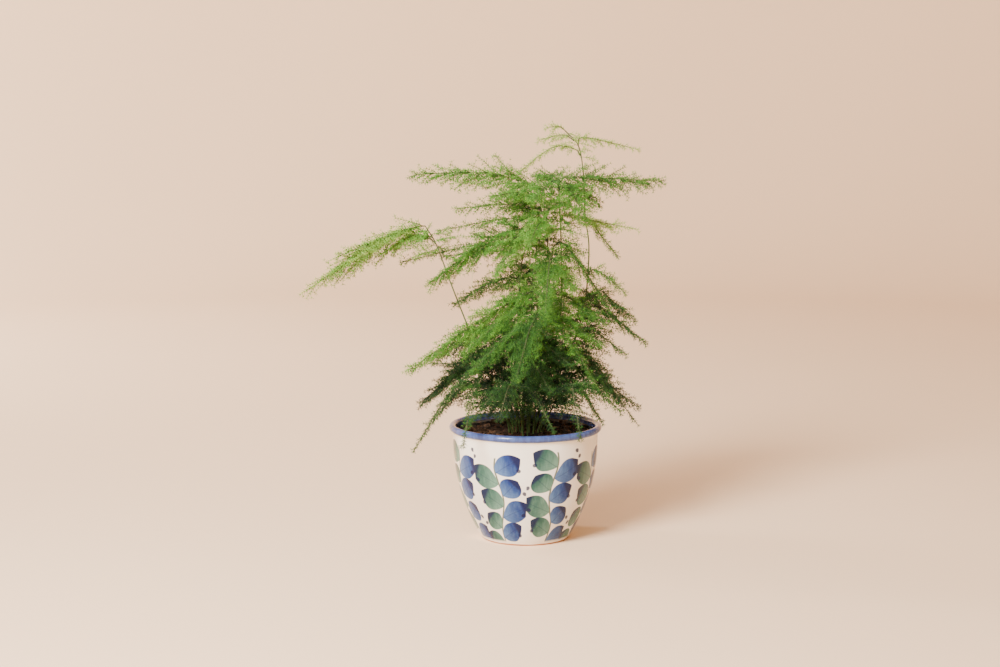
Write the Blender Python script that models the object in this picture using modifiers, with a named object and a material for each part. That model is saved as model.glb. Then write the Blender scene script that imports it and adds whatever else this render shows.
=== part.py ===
"""Lace asparagus fern in a painted pot.

A glazed pot, its soil, and 19 wiry stems that stand in plain holes in the soil.
Each stem is one solid: its cane, its fronds' midribs, their side branches and needles.
Metres, +Z up, the origin at the middle of the pot's flat underside, +X to the right
and +Y to the back.
"""
import math
import random
from collections import namedtuple

import bmesh
import bpy
import numpy as np
from mathutils import Matrix, Vector, noise

MM = 0.001

# The pot, in mm
POT_HEIGHT = 118.0
LIP_RADIUS = 78.0
LIP_THICKNESS = 7.0
SHOULDER_HEIGHT = 107.0
SHOULDER_RADIUS = 74.2
FOOT_RADIUS = 44.6
FOOT_EDGE = 1.2
BELLY_POWER = 2.2
WALL = 6.0
FLOOR = 8.0
TURN_STEPS = 36

# The soil, in mm
SOIL_TOP = 106.5
SOIL_RELIEF = 1.6
SOIL_CRUMB = 9.0
GAP = 0.3

# The stems, in mm
STEM_DEPTH = 10.0
CANE_FOOT = 1.1
CANE_TOP = 0.95
MIDRIB_FOOT = 0.9
MIDRIB_TIP = 0.65
CANE_STEP = 26.0
MIDRIB_STEP = 22.0
MIDRIB_LEAD = 9.0
HOLE_ROOM = 0.6

# The branches and needles, in mm and degrees
BRANCH_GAP = 8.0
SOLID_BRANCH_EVERY = 3
SHORTEST_BRANCH = 9.0
BRANCH_FOOT = 0.6
BRANCH_TIP = 0.5
NEEDLE_LENGTH = 6.0
NEEDLE_ROOT = 0.8
WHORL_GAP = 21.0
TIP_LENGTH = 3.0
BRANCH_SWELL = 0.6
TIP_LAP = 0.08
NEEDLE_LEAN = 48.0
CLEARANCE = 0.75
BENDS = (0, 10, -10, 20, -20, 32, -32, 45, -45)
SHIFTS = (0, 3, -3, 6, -6, 9, -9, 13, -13)
KEPT_FACES = 0.8

# A frond leaves its cane at a share of the cane's points, arches up on its way to the
# tip, and has side branches of a reach, at a spread angle to the midrib, in a plane
# that is tilted about the midrib.
Frond = namedtuple("Frond", "leaves tip arch reach spread tilt", defaults=(0, 26, 50, 0))
Stem = namedtuple("Stem", "name foot through fronds")

STEMS = (
    Stem("stem_left_reaching", (-12, -4),
         ((-22, -8, 140), (-42, -10, 180), (-57, -9, 215), (-75, -4, 260), (-90, 0, 300), (-99, 0, 316)),
         (Frond(1.0, (-219, -20, 257), 13, 62, 20, 35),
          Frond(0.93, (-150, 34, 288), 12, 34, 26, 10))),
    Stem("stem_fork", (4, -2),
         ((8, 0, 150), (18, 0, 200), (23, 0, 245), (22, 0, 300), (21, 0, 326)),
         (Frond(0.98, (-88, 12, 314), 8, 9, 55, 0),
          Frond(1.0, (-18, 42, 352), 6, 24, 50, 0),
          Frond(1.0, (34, -34, 346), 6, 20, 50, -10),
          Frond(0.95, (2, -62, 304), 14, 26, 50, 0),
          Frond(0.9, (-36, -44, 300), 10, 26, 50, 10),
          Frond(0.75, (46, -52, 262), 12, 28, 50))),
    Stem("stem_upper_left", (-2, 9),
         ((0, 12, 150), (5, 12, 210), (10, 10, 280), (14, 8, 330), (17, 6, 352)),
         (Frond(1.0, (-111, 0, 372), 12, 36, 42, -8),
          Frond(0.99, (-30, -4, 390), -6, 12, 45, 60),
          Frond(0.9, (-68, -14, 338), 10, 22, 50, 15),
          Frond(0.96, (-34, -46, 352), 8, 26, 50))),
    Stem("stem_mid_left", (-9, 5),
         ((-9, 12, 150), (-8, 18, 210), (-6, 20, 256), (-2, 16, 290), (8, 6, 312)),
         (Frond(1.0, (-92, -45, 268), 16, 40, 46, 32),
          Frond(0.9, (-127, 25, 281), 10, 9, 50, 0),
          Frond(0.85, (-85, 34, 286), 8, 14, 50, 0),
          Frond(0.97, (-30, -60, 276), 12, 30, 48, 20))),
    Stem("stem_upper_right", (10, 4),
         ((18, 3, 150), (30, 2, 200), (36, 0, 240), (36, 0, 296), (34, 0, 341), (33, 0, 362)),
         (Frond(1.0, (135, 0, 365), 5, 32, 42, -6),
          Frond(1.0, (12, 50, 366), 6, 26, 50, 0),
          Frond(0.97, (58, -48, 332), 12, 28, 50, 0),
          Frond(0.86, (112, -6, 317), 4, 24, 30, 20),
          Frond(0.99, (6, -50, 348), 8, 26, 50),
          Frond(0.98, (76, 42, 340), 8, 26, 50))),
    Stem("stem_tall_right", (16, -4),
         ((27, -2, 150), (48, 0, 200), (60, 0, 240), (64, 0, 296), (60, 0, 331), (58, 0, 372),
          (53, 0, 400), (42, 0, 413)),
         (Frond(1.0, (22, 2, 419), 4, 12, 50, 0),
          Frond(0.92, (-9, 6, 372), 16, 10, 50, 0),
          Frond(0.95, (112, 0, 397), 6, 10, 50, 0),
          Frond(0.97, (14, 14, 406), 5, 11, 50, 0),
          Frond(0.7, (94, 22, 288), 5, 13, 50, 0),
          Frond(0.55, (98, -34, 256), 8, 18, 50))),
    Stem("stem_right_arching", (8, -9),
         ((12, -12, 160), (20, -15, 230), (25, -12, 280), (28, -10, 300)),
         (Frond(1.0, (84, -14, 238), 12, 24, 45, 20),
          Frond(0.95, (18, -76, 240), 16, 30, 50, 0))),
    Stem("stem_big_front_left", (-4, -9),
         ((0, -12, 160), (8, -12, 210), (12, -16, 240), (12, -21, 252)),
         (Frond(1.0, (-114, -55, 182), 8, 50, 44, 24),
          Frond(0.95, (78, -32, 226), 14, 36, 48, 15),
          Frond(0.9, (-60, -72, 200), 12, 36, 48, 10))),
    Stem("stem_front", (2, -15),
         ((6, -20, 150), (12, -26, 195), (15, -31, 222), (14, -38, 232)),
         (Frond(1.0, (-10, -98, 180), 14, 38, 50, 0),
          Frond(1.0, (66, -66, 172), 14, 22, 45, 0),
          Frond(0.95, (72, -42, 206), 10, 30, 50, 0),
          Frond(0.9, (-52, -80, 184), 14, 34, 48))),
    Stem("stem_right_trailing", (14, 7),
         ((30, 10, 160), (54, 12, 210), (64, 12, 236), (70, 12, 248)),
         (Frond(1.0, (110, 14, 224), 6, 14, 45, 0),
          Frond(0.9, (120, -2, 203), 8, 20, 45, 0),
          Frond(0.75, (100, -18, 192), 8, 20, 45, 0),
          Frond(0.95, (64, 80, 216), 14, 30, 50, 0))),
    Stem("stem_back_mid", (2, 16),
         ((4, 26, 160), (6, 36, 220), (8, 44, 262)),
         (Frond(1.0, (6, 130, 236), 20, 42, 50, 0),
          Frond(0.95, (-74, 84, 232), 16, 34, 50, 0),
          Frond(0.8, (60, 96, 200), 12, 30, 50, 0))),
    Stem("stem_dark_middle", (-6, 0),
         ((-10, 0, 140), (-14, 2, 180), (-12, 4, 205)),
         (Frond(1.0, (-88, 6, 186), 14, 34, 50, 0),
          Frond(0.9, (-64, -58, 170), 14, 34, 50, 10),
          Frond(1.0, (-40, 74, 196), 14, 32, 50, 0),
          Frond(0.85, (24, -74, 162), 14, 32, 50, 0),
          Frond(0.95, (44, -56, 186), 12, 34, 50),
          Frond(0.8, (54, 44, 172), 14, 34, 50))),
    Stem("stem_low_left", (-17, 1),
         ((-25, 0, 140), (-36, -2, 166), (-42, -4, 174)),
         (Frond(1.0, (-102, -20, 146), 12, 26, 40, 20),
          Frond(0.95, (-107, 22, 134), 14, 24, 40, 0),
          Frond(0.9, (-96, 52, 172), 6, 14, 45, 0))),
    Stem("stem_low_left_front", (-14, -12),
         ((-27, -23, 140), (-42, -35, 160), (-48, -40, 164)),
         (Frond(1.0, (-111, -58, 102), 20, 16, 40, 0),
          Frond(0.95, (-62, -90, 112), 20, 14, 40, 0),
          Frond(0.9, (-92, -36, 128), 14, 20, 40, 0))),
    Stem("stem_low_right", (19, 2),
         ((31, 3, 140), (46, 4, 164), (52, 4, 171)),
         (Frond(1.0, (114, 10, 134), 6, 26, 40, 0),
          Frond(0.95, (113, -26, 121), 18, 20, 35, 0),
          Frond(0.9, (96, 46, 138), 14, 24, 45, 0))),
    Stem("stem_low_right_front", (13, -14),
         ((24, -25, 140), (38, -38, 160), (44, -43, 164)),
         (Frond(1.0, (92, -66, 142), 12, 24, 45, 0),
          Frond(0.95, (52, -96, 120), 18, 16, 45, 0),
          Frond(0.9, (76, -34, 126), 14, 22, 45))),
    Stem("stem_low_front", (-3, -21),
         ((-6, -34, 140), (-10, -50, 160), (-12, -56, 164)),
         (Frond(1.0, (-26, -104, 142), 12, 26, 50, 0),
          Frond(0.95, (26, -86, 126), 16, 14, 45, 0),
          Frond(0.9, (-54, -78, 134), 12, 22, 45))),
    Stem("stem_low_back_left", (-10, 13),
         ((-20, 26, 145), (-33, 42, 172), (-37, 48, 178)),
         (Frond(1.0, (-84, 82, 150), 14, 34, 48, 0),
          Frond(0.95, (-30, 112, 158), 14, 30, 50, 0))),
    Stem("stem_low_back_right", (11, 15),
         ((22, 28, 145), (36, 42, 172), (40, 47, 178)),
         (Frond(1.0, (88, 74, 154), 14, 34, 48, 0),
          Frond(0.95, (36, 114, 160), 14, 30, 50, 0))),
)


def smooth_route(points, step):
    """Points about a step apart on one smooth curve through the given ones."""
    knots = [Vector(p) for p in points]
    padded = [2 * knots[0] - knots[1]] + knots + [2 * knots[-1] - knots[-2]]
    route = []
    for i in range(len(knots) - 1):
        before, here, after, beyond = padded[i:i + 4]
        count = max(1, round((after - here).length / step))
        for k in range(count):
            t = k / count
            route.append(0.5 * (2 * here + (after - before) * t
                                + (2 * before - 5 * here + 4 * after - beyond) * t ** 2
                                + (3 * here - before - 3 * after + beyond) * t ** 3))
    return route + [knots[-1]]


def point_along(route, share):
    """The point and the direction at a share of a route's length."""
    lengths = [(b - a).length for a, b in zip(route, route[1:])]
    left = share * sum(lengths)
    for a, b, length in zip(route, route[1:], lengths):
        if left <= length:
            return a.lerp(b, left / length), (b - a).normalized()
        left -= length
    return route[-1], (route[-1] - route[-2]).normalized()


class Space:
    """The rods grown so far, each with its stem, which other stems keep clear of."""

    def __init__(self):
        self.rods = []
        self.owners = []

    def add(self, owner, route, radius):
        for a, b in zip(route, route[1:]):
            self.rods.append((*a, *b, radius))
            self.owners.append(owner)

    def is_clear(self, owner, route, radius):
        """Whether a rod along the route keeps its clearance to all other stems."""
        others = np.array([rod for rod, name in zip(self.rods, self.owners) if name != owner])
        if not len(others):
            return True
        start, end, thick = others[:, 0:3], others[:, 3:6], others[:, 6]
        along = end - start
        size = (along ** 2).sum(axis=1)
        for a, b in zip(route, route[1:]):
            for k in range(int((b - a).length) + 2):
                spot = np.array(a.lerp(b, k / (int((b - a).length) + 1)))
                share = np.clip(((spot - start) * along).sum(axis=1) / size, 0, 1)
                away = np.linalg.norm(start + along * share[:, None] - spot, axis=1)
                if (away < radius + thick + CLEARANCE).any():
                    return False
        return True


def clears_pot(route, room):
    """Whether a route keeps out of the soil and of the pot's wall and lip."""
    for a, b in zip(route, route[1:]):
        for k in range(5):
            spot = a.lerp(b, k / 4)
            out = math.hypot(spot.x, spot.y)
            if spot.z > POT_HEIGHT + room:
                continue
            if out < LIP_RADIUS + room and (out > LIP_RADIUS - LIP_THICKNESS - room
                                            or spot.z < SOIL_TOP + SOIL_RELIEF + room):
                return False
    return True


def grow_cane(stem, space):
    """A stem's cane: straight up out of its hole, then through its own points."""
    x, y = stem.foot
    foot = [(x, y, SOIL_TOP - STEM_DEPTH), (x, y, SOIL_TOP + 6)]
    for sideways in SHIFTS:
        for deep in SHIFTS:
            moved = [(px + sideways * min(1, k), py + deep * min(1, k), pz)
                     for k, (px, py, pz) in enumerate(stem.through, 1)]
            route = smooth_route(foot + moved, CANE_STEP)
            if space.is_clear(stem.name, route, CANE_FOOT):
                space.add(stem.name, route, CANE_FOOT)
                return route
    raise ValueError(f"{stem.name} finds no room for its cane")


def grow_midrib(stem, frond, cane, space):
    """A frond's midrib: from the cane in an arch to its tip, bent clear of other stems."""
    start, ahead = point_along(cane, frond.leaves)
    tip = Vector(frond.tip)
    aside = Vector((tip.y - start.y, start.x - tip.x, 0)).normalized()
    for rise in SHIFTS:
        for sideways in SHIFTS:
            middle = start.lerp(tip, 0.45) + Vector((0, 0, frond.arch + rise)) + aside * sideways
            lead = (ahead + (middle - start).normalized()).normalized() * MIDRIB_LEAD
            route = smooth_route((start, start + lead, middle, tip), MIDRIB_STEP)
            if space.is_clear(stem.name, route, MIDRIB_FOOT) and clears_pot(route, 1.5):
                space.add(stem.name, route, MIDRIB_FOOT)
                return route
    raise ValueError(f"{stem.name} finds no room for a midrib to {frond.tip}")


def branch_reach(share):
    """How long a side branch is at a share of the midrib, as a part of the longest."""
    opening = min(1.0, 0.45 + share / 0.28)
    return opening * (1.0 - 0.86 * share ** 1.25)


def side_branches(stem, number, frond, midrib):
    """Each side branch of a frond: its start, its direction and its length."""
    total = sum((b - a).length for a, b in zip(midrib, midrib[1:]))
    count = int(total / BRANCH_GAP)
    for k in range(count):
        draw = random.Random(f"{stem.name} {number} {k}")
        share = (k + 0.6) / count
        spot, ahead = point_along(midrib, share)
        across = ahead.cross(Vector((0, 0, 1))).normalized() * (1 if k % 2 else -1)
        across.rotate(Matrix.Rotation(math.radians(frond.tilt), 3, ahead))
        turn = math.radians(frond.spread * draw.uniform(0.85, 1.15) * (1 - 0.3 * share))
        away = ahead * math.cos(turn) + across * math.sin(turn)
        away.z += draw.uniform(-0.5, 0.15)
        length = frond.reach * branch_reach(share) * draw.uniform(0.85, 1.12)
        yield k, spot, ahead, away.normalized(), length


def bent_branch(stem, spot, ahead, away, length, space):
    """A side branch turned about the midrib until it is clear, or None."""
    for bend in BENDS:
        way = away.copy()
        way.rotate(Matrix.Rotation(math.radians(bend), 3, ahead))
        for share in (1.0, 0.7):
            route = [spot, spot + way * length * share]
            if space.is_clear(stem.name, route, BRANCH_FOOT) and clears_pot(route, 1.5):
                return route
    return None


def link(thing, collection):
    collection.objects.link(thing)
    return thing


def make_material(name, colour, roughness):
    material = bpy.data.materials.new(name)
    material.use_nodes = True
    shader = material.node_tree.nodes["Principled BSDF"]
    shader.inputs["Base Color"].default_value = (*colour, 1)
    shader.inputs["Roughness"].default_value = roughness
    shader.inputs["Metallic"].default_value = 0
    material.diffuse_color = (*colour, 1)
    return material


def turned(name, profile, collection, material):
    """A turned solid from a half profile that starts and ends on the axis."""
    mesh = bpy.data.meshes.new(name)
    points = [(out * MM, 0, up * MM) for out, up in profile]
    mesh.from_pydata(points, [(k, k + 1) for k in range(len(points) - 1)], [])
    thing = link(bpy.data.objects.new(name, mesh), collection)
    screw = thing.modifiers.new("turn", "SCREW")
    screw.steps = screw.render_steps = TURN_STEPS
    screw.use_merge_vertices = True
    screw.merge_threshold = 0.00001
    thing.data.materials.append(material)
    return thing


def wall_radius(height, inset=0.0):
    """The pot's outer radius at a height between its foot and its shoulder, less an inset."""
    share = min(1.0, max(0.0, height / SHOULDER_HEIGHT))
    return FOOT_RADIUS + (SHOULDER_RADIUS - FOOT_RADIUS) * (1 - (1 - share) ** BELLY_POWER) - inset


def inner_wall(top, inset, count):
    """Points up the pot's inside, from its floor to a height."""
    heights = [FLOOR + (top - FLOOR) * (k / count) ** 1.3 for k in range(count + 1)]
    return [(wall_radius(h, WALL + inset), h) for h in heights]


def make_pot(collection, material):
    """The shell: floor, inner wall, rolled lip, outer wall and flat foot, in one profile."""
    half = LIP_THICKNESS / 2
    lip_out, lip_up = LIP_RADIUS - half, POT_HEIGHT - half
    inside = [(0, FLOOR)] + inner_wall(SHOULDER_HEIGHT, 0, 4)
    lip = [(lip_out - half * math.cos(math.radians(a)), lip_up + half * math.sin(math.radians(a)))
           for a in range(0, 181, 36)]
    outside = [(wall_radius(SHOULDER_HEIGHT * (1 - k / 7)), SHOULDER_HEIGHT * (1 - k / 7)) for k in range(7)]
    foot = [(FOOT_RADIUS, FOOT_EDGE), (FOOT_RADIUS - FOOT_EDGE, 0), (0, 0)]
    return turned("pot", inside + lip + outside + foot, collection, material)


def make_soil(collection, material, canes):
    """The soil: it fits the pot's inside, has a crumbled top, and a hole for each cane."""
    edge = wall_radius(SOIL_TOP, WALL + GAP)
    rings = 6
    top = [(edge * k / rings, SOIL_TOP) for k in range(rings)]
    side = list(reversed(inner_wall(SOIL_TOP, GAP, 4)))
    side = [(out, max(up, FLOOR + GAP)) for out, up in side]
    soil = turned("soil", top + side + [(0, FLOOR + GAP)], collection, material)
    bpy.context.view_layer.update()
    mesh = bpy.data.meshes.new_from_object(soil.evaluated_get(bpy.context.evaluated_depsgraph_get()))
    soil.modifiers.clear()
    soil.data = mesh
    for vertex in mesh.vertices:
        out = math.hypot(vertex.co.x, vertex.co.y) / MM
        if vertex.co.z / MM > SOIL_TOP - 0.01 and out < edge - 1:
            crumb = noise.noise(vertex.co / (SOIL_CRUMB * MM))
            vertex.co.z += SOIL_RELIEF * crumb * MM
    holes = bpy.data.collections.new("stem holes")
    bpy.context.scene.collection.children.link(holes)
    for cane in canes:
        floor = cane[0].z - GAP
        depth = POT_HEIGHT - floor
        bm = bmesh.new()
        bmesh.ops.create_cone(bm, cap_ends=True, segments=6, depth=depth * MM,
                              radius1=(CANE_FOOT + HOLE_ROOM) * MM, radius2=(CANE_FOOT + HOLE_ROOM) * MM,
                              matrix=Matrix.Translation(Vector((cane[0].x, cane[0].y, floor + depth / 2)) * MM))
        cutter_mesh = bpy.data.meshes.new("hole")
        bm.to_mesh(cutter_mesh)
        bm.free()
        cutter = link(bpy.data.objects.new("hole", cutter_mesh), holes)
        cutter.hide_render = True
        cutter.display_type = "WIRE"
    join(soil, holes, "DIFFERENCE")
    return soil


def join(thing, collection, operation):
    """Cut or fuse a collection's objects into one object, and remove them."""
    boolean = thing.modifiers.new("join", "BOOLEAN")
    boolean.operation = operation
    boolean.operand_type = "COLLECTION"
    boolean.collection = collection
    boolean.solver = "MANIFOLD"
    bpy.context.view_layer.update()
    mesh = bpy.data.meshes.new_from_object(thing.evaluated_get(bpy.context.evaluated_depsgraph_get()))
    thing.modifiers.clear()
    thing.data = mesh
    for piece in list(collection.objects):
        bpy.data.objects.remove(piece)
    bpy.data.collections.remove(collection)


def keep_one_body(mesh):
    """Fill the hollows that fusing sealed and drop loose scraps: only the largest shell stays."""
    bm = bmesh.new()
    bm.from_mesh(mesh)
    left = set(bm.verts)
    shells = []
    while left:
        shell, front = set(), [left.pop()]
        while front:
            vertex = front.pop()
            shell.add(vertex)
            reached = {side.other_vert(vertex) for side in vertex.link_edges} & left
            left -= reached
            front.extend(reached)
        shells.append(shell)
    largest = max(shells, key=len)
    bmesh.ops.delete(bm, geom=[vertex for vertex in bm.verts if vertex not in largest], context="VERTS")
    bm.to_mesh(mesh)
    bm.free()


def make_rod(name, route, thick, thin, collection):
    """A tapered rod along a route: a bevelled poly curve made a mesh with welded caps."""
    curve = bpy.data.curves.new(name, "CURVE")
    curve.dimensions = "3D"
    curve.bevel_depth = MM
    curve.bevel_resolution = 0
    curve.use_fill_caps = True
    spline = curve.splines.new("POLY")
    spline.points.add(len(route) - 1)
    for k, (point, spot) in enumerate(zip(spline.points, route)):
        point.co = (*(spot * MM), 1)
        point.radius = thick + (thin - thick) * k / (len(route) - 1)
    guide = link(bpy.data.objects.new(name, curve), collection)
    bpy.context.view_layer.update()
    mesh = bpy.data.meshes.new_from_object(guide.evaluated_get(bpy.context.evaluated_depsgraph_get()))
    bpy.data.objects.remove(guide)
    bm = bmesh.new()
    bm.from_mesh(mesh)
    bmesh.ops.remove_doubles(bm, verts=bm.verts, dist=0.00001)
    bmesh.ops.recalc_face_normals(bm, faces=bm.faces)
    bmesh.ops.triangulate(bm, faces=bm.faces)
    bm.to_mesh(mesh)
    bm.free()
    mesh.name = name
    return link(bpy.data.objects.new(name, mesh), collection)


def raise_whorl(bm, low, swell, place, draw, stem, space):
    """Three needles raised from the faces of a short, swollen band round a branch."""
    for height in (low, low + NEEDLE_ROOT):
        cut = bmesh.ops.bisect_plane(bm, geom=bm.verts[:] + bm.edges[:] + bm.faces[:],
                                     plane_co=(0, 0, height), plane_no=(0, 0, 1))
        ring = [piece for piece in cut["geom_cut"] if isinstance(piece, bmesh.types.BMVert)]
        bmesh.ops.scale(bm, vec=(swell, swell, 1), verts=ring)
    lean = math.radians(NEEDLE_LEAN)
    for face in list(bm.faces):
        middle = face.calc_center_median()
        if not low < middle.z < low + NEEDLE_ROOT:
            continue
        out = Vector((middle.x, middle.y, 0)).normalized()
        way = out * math.sin(lean) + Vector((0, 0, math.cos(lean)))
        end = middle + way * NEEDLE_LENGTH * draw.uniform(0.85, 1.15)
        route = [place @ middle, place @ end]
        if space.is_clear(stem.name, route, NEEDLE_ROOT / 2) and clears_pot(route, 1):
            space.add(stem.name, route, NEEDLE_ROOT / 2)
            bmesh.ops.poke(bm, faces=[face])["verts"][0].co = end


def make_branch(stem, route, draw, collection, space):
    """A three-sided side branch whose whorls of needles stand on all sides, out to its tip."""
    root, tip = route
    away = tip - root
    turn = Matrix.Rotation(draw.uniform(0, math.tau), 4, "Z")
    place = Matrix.Translation(root) @ away.to_track_quat("Z", "Y").to_matrix().to_4x4() @ turn
    bm = bmesh.new()
    bmesh.ops.create_cone(bm, cap_ends=True, segments=3, radius1=BRANCH_FOOT, radius2=BRANCH_TIP,
                          depth=away.length, matrix=Matrix.Translation((0, 0, away.length / 2)))
    whorls = max(1, round(away.length / WHORL_GAP))
    for k in range(whorls):
        share = (1 - TIP_LENGTH / away.length) * (1 - k / (whorls + 0.2))
        swell = 1 + BRANCH_SWELL * math.sin(math.pi * share)
        raise_whorl(bm, share * away.length, swell, place, draw, stem, space)
    bmesh.ops.transform(bm, matrix=Matrix.Scale(MM, 4) @ place, verts=bm.verts)
    mesh = bpy.data.meshes.new("branch")
    bm.to_mesh(mesh)
    bm.free()
    return link(bpy.data.objects.new("branch", mesh), collection)


def make_stem(stem, cane, midribs, space, collection, material):
    """One leafy stem: its rods and spikes, fused by one Boolean union."""
    pieces = bpy.data.collections.new(stem.name + " pieces")
    bpy.context.scene.collection.children.link(pieces)
    body = make_rod(stem.name, cane, CANE_FOOT, CANE_TOP, collection)
    for number, (frond, midrib) in enumerate(zip(stem.fronds, midribs)):
        make_rod("midrib", midrib[:-1], MIDRIB_FOOT, MIDRIB_TIP, pieces)
        leader = [midrib[-2].lerp(midrib[-1], -TIP_LAP), midrib[-1]]
        make_branch(stem, leader, random.Random(f"{stem.name} {number} tip"), pieces, space)
        for k, spot, ahead, away, length in side_branches(stem, number, frond, midrib):
            if k % SOLID_BRANCH_EVERY or length < SHORTEST_BRANCH:
                continue
            route = bent_branch(stem, spot, ahead, away, length, space)
            if route is not None:
                space.add(stem.name, route, BRANCH_FOOT)
                make_branch(stem, route, random.Random(f"{stem.name} {number} {k} needles"), pieces, space)
    join(body, pieces, "UNION")
    keep_one_body(body.data)
    thin = body.modifiers.new("thin", "DECIMATE")
    thin.ratio = KEPT_FACES
    thin.use_collapse_triangulate = True
    body.data.name = stem.name
    body.data.materials.clear()
    body.data.materials.append(material)
    return body


def main():
    for thing in list(bpy.data.objects):
        bpy.data.objects.remove(thing)
    plant = bpy.data.collections.new("potted asparagus fern")
    bpy.context.scene.collection.children.link(plant)
    glaze = make_material("cream glaze", (0.80, 0.74, 0.66), 0.2)
    bark = make_material("bark soil", (0.05, 0.03, 0.02), 0.9)
    light_leaf = make_material("light leaf", (0.13, 0.33, 0.05), 0.55)
    dark_leaf = make_material("dark leaf", (0.03, 0.13, 0.03), 0.6)

    space = Space()
    canes = [grow_cane(stem, space) for stem in STEMS]
    midribs = [[grow_midrib(stem, frond, cane, space) for frond in stem.fronds]
               for stem, cane in zip(STEMS, canes)]
    make_pot(plant, glaze)
    make_soil(plant, bark, canes)
    for stem, cane, ribs in zip(STEMS, canes, midribs):
        low = max(z for _, _, z in stem.through) < SOIL_TOP + 100
        make_stem(stem, cane, ribs, space, plant, dark_leaf if low else light_leaf)


main()
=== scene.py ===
"""Lace asparagus fern in a painted pot: the looks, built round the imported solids.

Each leafy stem repeats the solids' canes and midribs, and adds every side branch, twig
and tuft of needles. The pot, its painted wall and its soil are modelled again, finer.
Metres, +Z up, +X to the right and +Y to the back. Sizes written in mm are named so.
"""
import math
import random
from collections import namedtuple
from functools import partialmethod

import bpy
import numpy as np
from bpy.props import FloatProperty, FloatVectorProperty, IntProperty, PointerProperty
from mathutils import Matrix, Vector, noise


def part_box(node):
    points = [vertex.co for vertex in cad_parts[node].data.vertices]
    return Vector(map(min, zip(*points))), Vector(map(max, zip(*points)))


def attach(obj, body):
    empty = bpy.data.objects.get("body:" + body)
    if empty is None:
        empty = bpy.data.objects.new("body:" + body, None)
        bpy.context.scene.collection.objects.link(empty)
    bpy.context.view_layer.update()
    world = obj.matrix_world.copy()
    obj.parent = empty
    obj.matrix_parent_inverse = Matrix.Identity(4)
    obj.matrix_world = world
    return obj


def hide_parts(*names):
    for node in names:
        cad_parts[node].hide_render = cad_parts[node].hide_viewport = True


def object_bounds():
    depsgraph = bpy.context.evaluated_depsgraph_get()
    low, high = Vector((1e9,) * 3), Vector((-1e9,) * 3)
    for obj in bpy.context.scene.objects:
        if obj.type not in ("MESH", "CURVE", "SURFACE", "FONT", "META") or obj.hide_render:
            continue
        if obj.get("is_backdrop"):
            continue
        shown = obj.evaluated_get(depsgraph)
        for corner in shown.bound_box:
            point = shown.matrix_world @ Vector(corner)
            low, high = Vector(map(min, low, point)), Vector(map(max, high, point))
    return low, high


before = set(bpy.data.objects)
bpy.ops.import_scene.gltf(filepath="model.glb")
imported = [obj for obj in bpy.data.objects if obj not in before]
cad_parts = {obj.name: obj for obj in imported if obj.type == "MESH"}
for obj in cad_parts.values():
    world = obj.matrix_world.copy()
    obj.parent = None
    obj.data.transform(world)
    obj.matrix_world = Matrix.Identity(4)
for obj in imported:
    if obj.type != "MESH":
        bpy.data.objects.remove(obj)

bl_info = {
    "name": "Potted Lace Fern",
    "version": (1, 0, 0),
    "blender": (4, 5, 0),
    "location": "3D View > Sidebar > Lace Fern",
    "description": "Adds a lace asparagus fern in a painted pot, piece by piece",
    "category": "Add Mesh",
}

MM = 0.001
CAD_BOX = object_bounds()

POT_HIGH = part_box("pot")[1]
POT_HEIGHT = POT_HIGH.z / MM
LIP_RADIUS = POT_HIGH.x / MM

# The pot, in mm
LIP_THICKNESS = 7.0
SHOULDER_HEIGHT = 107.0
SHOULDER_RADIUS = 74.2
FOOT_RADIUS = 44.6
FOOT_EDGE = 1.2
FOOT_RING = 6.0
FOOT_HOLLOW = 1.6
BELLY_POWER = 2.2
WALL = 6.0
FLOOR = 8.0
TURN_STEPS, WALL_STEPS = 128, 30
INSIDE_HEIGHTS = (108, 100, 90, 75, 60, 45, 30, 18, FLOOR)

# The soil, in mm
SOIL_TOP = 106.5
SOIL_RELIEF = 1.6
SOIL_CRUMB = 9.0
SOIL_DEPTH = 6.0
SOIL_FLAT = 46.0
SOIL_EDGE_RISE = 3.0
SOIL_GRIT, GRIT_RELIEF = 2.3, 0.5
SOIL_RINGS, SOIL_STEPS = 34, 96
CHIP_SHAPES, CHIP_WIDTHS, CHIP_HEIGHTS = 6, (0.4, 0.8), (0.18, 0.42)
CHIP_SIZES, CHIP_TONES, CHIP_TILT = (0.22, 1.0), (1.3, 3.2), 0.3

# The stems' routes, in mm, as the solids have them
STEM_DEPTH = 10.0
CANE_FOOT = 1.1
CANE_TOP = 0.95
MIDRIB_FOOT = 0.9
CANE_STEP = 26.0
MIDRIB_STEP = 22.0
MIDRIB_LEAD = 9.0
BRANCH_GAP = 8.0
FIRST_BRANCH, LAST_SHARE = 0.6, 0.985
REACH_FOOT, REACH_OPENS, REACH_LOSS, REACH_POWER = 0.45, 0.28, 0.86, 1.25
CLEARANCE = 0.75
SHIFTS = (0, 3, -3, 6, -6, 9, -9, 13, -13)
ARCH_PLACE = 0.45
POT_ROOM = 1.5

# A frond leaves its cane at a share of the cane's length, arches up on its way to the
# tip, and has side branches of a reach, at a spread angle to the midrib, in a plane
# that is tilted about the midrib. Its tone runs from 0, a near-black green, to 1, yellow
# green; the low and inner fronds get the darkest tones, which are painted shade under the
# bush. Its fill is the reach of the finer branches between the solids' own, if that differs.
# Short sprays fill the bush between the fronds, from one height of a cane to another; the
# low ones get a near-black tone as painted shade.
Frond = namedtuple("Frond", "leaves tip arch reach tone spread tilt fill", defaults=(50, 0, 0))
Sprays = namedtuple("Sprays", "low high reach tone")
# Low sprays round each cane: their near-black tone is painted shade under the bush.
LOW_SPRAYS = (Sprays(134, 178, 42, 0.12),)
Stem = namedtuple("Stem", "name foot through fronds sprays", defaults=(LOW_SPRAYS,))

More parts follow.
